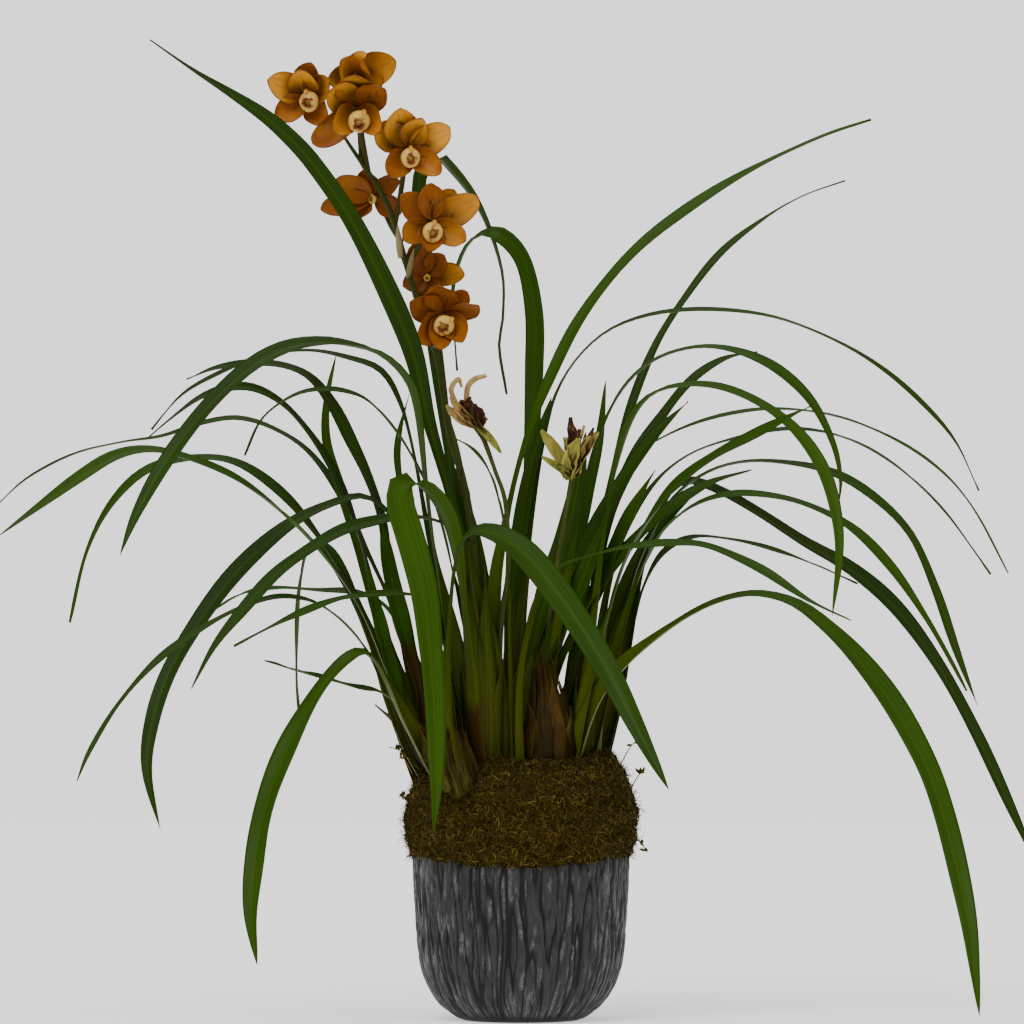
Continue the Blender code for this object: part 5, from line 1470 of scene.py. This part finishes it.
def buildWitheredMaterial():
    material, tree, shader = newMaterial("witheredPetal", witheredLook["roughness"], witheredLook["gloss"])
    veins = placeVeins(tree, 18.0, 3.0, 0.8)
    cloud = objectNoise(tree, 160.0, 4.0)
    pale = doMath(tree, 'ADD', readMark(tree, "pale"),
                  swing(tree, cloud, 1.1))
    olive = readMark(tree, "olive")
    light = mixColour(tree, olive, witheredLook["tan"], witheredLook["olive"])
    share = addNode(tree, 'ShaderNodeMapRange', in0=pale, in1=0.0, in2=0.6).outputs[0]
    colour = mixColour(tree, share, witheredLook["dark"], light)
    streak = addRamp(tree, veins["Fine"], [(0.36, (0.6, 0.6, 0.6)), (0.62, (1.15, 1.15, 1.1))])
    colour = mixColour(tree, 0.7, colour, streak, 'MULTIPLY')
    colour = mixColour(tree, readMark(tree, "stem"), colour, stemLook["green"])
    tree.links.new(colour, shader.inputs["Base Color"])
    addBump(tree, shader, veins["Fine"], 0.8, 0.0010)
    return material


witheredPetal = buildWitheredMaterial()


shrunkShape = {"steps": 18, "halfSides": 5, "thick": 0.0009, "edge": 0.0005, "wave": 0.0009,
               "ripple": 0.0008}


def addShrunkPetal(store, heart, petal, rng):
    x, y, z, width, pale, olive = petal
    start = Vector(heart) * cm
    end = Vector((x, y, z)) * cm
    curl = Vector((rng.uniform(-0.4, 0.4), rng.uniform(-0.9, 0.3), rng.uniform(-0.3, 0.5))) * cm
    bend = start.lerp(end, 0.55) + curl
    steps = shrunkShape["steps"]
    route = [start * (1 - t) ** 2 + 2 * bend * t * (1 - t) + end * t * t
             for t in [k / steps for k in range(steps + 1)]]
    halves = [max(0.0004, width * cm / 2 * math.sin(math.pi * min(0.97, 0.12 + 0.88 * k / steps)) ** 0.6)
              for k in range(steps + 1)]
    turn = rng.uniform(-0.7, 0.7)
    face = Vector((math.sin(turn), -math.cos(turn), rng.uniform(-0.3, 0.3))).normalized()
    phase = rng.uniform(0, 6.28)
    shape = {
        **shrunkShape, "fold": lambda u: 0.5, "cup": lambda u: mix(1.1, 0.6, u),
        "wave": lambda u, s: (shrunkShape["wave"] * math.sin(17 * u + 4 * s + phase)
                              + shrunkShape["ripple"] * s * math.sin(31 * u + phase))}
    addBlade(store, route, halves, [face] * (steps + 1), shape,
             lambda u, s, under: {"pale": pale * (0.5 + 0.5 * u) + 0.25 * abs(s) * pale, "olive": olive})


def makeWithered(name, plan):
    rng = random.Random(name)
    store = newStore("pale", "olive", "stem")
    addTube(store, [tuple(v * cm for v in stop) for stop in plan["stalk"]], 80, 10,
            {"pale": 0.2, "olive": 0.5, "stem": 0.9})
    for curl in plan["curls"]:
        addTube(store, [tuple(v * cm for v in stop) for stop in curl], 24, 8,
                {"pale": 0.5, "olive": 0.1})
    for petal in plan["petals"]:
        addShrunkPetal(store, plan["heart"], petal, rng)
    flower = storeMesh(store, name, witheredPetal)
    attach(flower, "root")
    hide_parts(name)


for name, plan in witheredPlan.items():
    makeWithered(name, plan)
print("withered flowers made")


stageLook = {"floor": (0.90, 0.90, 0.90), "floorGlow": 0.62, "backdrop": 1.60, "ambient": 0.34,
             "roughness": 0.9, "gloss": 0.0, "halfSize": 6.0}


def makeStage():
    material, _, shader = newMaterial("paleFloor", stageLook["roughness"], stageLook["gloss"])
    shader.inputs["Base Color"].default_value = (*stageLook["floor"], 1)
    shader.inputs["Emission Color"].default_value = (1, 1, 1, 1)
    shader.inputs["Emission Strength"].default_value = stageLook["floorGlow"]
    size = stageLook["halfSize"]
    corners = [(-size, -size, 0), (size, -size, 0), (size, size, 0), (-size, size, 0)]
    floor = addMesh("floor", corners, [(0, 1, 2, 3)], material)
    world = bpy.data.worlds.new("studio")
    world.use_nodes = True
    nodes = world.node_tree
    seen = addNode(nodes, 'ShaderNodeLightPath').outputs["Is Camera Ray"]
    glow = addNode(nodes, 'ShaderNodeMapRange', in0=seen, in3=stageLook["ambient"],
                   in4=stageLook["backdrop"])
    background = nodes.nodes["Background"]
    background.inputs["Color"].default_value = (1, 1, 1, 1)
    nodes.links.new(glow.outputs[0], background.inputs["Strength"])
    scene.world = world


# each sun: the way its light travels, how soft it is in degrees, its power
sunPlan = {
    "keySun": ((0.45, 0.75, -1.0), 40, 2.1), "fillSun": ((-0.8, 0.6, -0.7), 60, 0.75),
    "topSun": ((0.1, -0.3, -1.0), 60, 0.75)}
cameraPlan = {"lens": 200, "sensor": 36, "stands": (-0.0077, -4.83, 0.30), "aims": (-0.0077, 0, 0.430)}


def addSun(name, travels, spread, power):
    data = bpy.data.lights.new(name, 'SUN')
    data.angle = math.radians(spread)
    data.energy = power
    lamp = bpy.data.objects.new(name, data)
    lamp.rotation_euler = Vector(travels).to_track_quat('-Z', 'Y').to_euler()
    scene.collection.objects.link(lamp)


def addCamera():
    data = bpy.data.cameras.new("camera")
    data.lens = cameraPlan["lens"]
    data.sensor_width = cameraPlan["sensor"]
    camera = bpy.data.objects.new("camera", data)
    camera.location = cameraPlan["stands"]
    aim = Vector(cameraPlan["aims"])
    camera.rotation_euler = (aim - camera.location).to_track_quat('-Z', 'Y').to_euler()
    scene.collection.objects.link(camera)
    scene.camera = camera


makeStage()
for name, sun in sunPlan.items():
    addSun(name, *sun)
addCamera()
print("stage made")
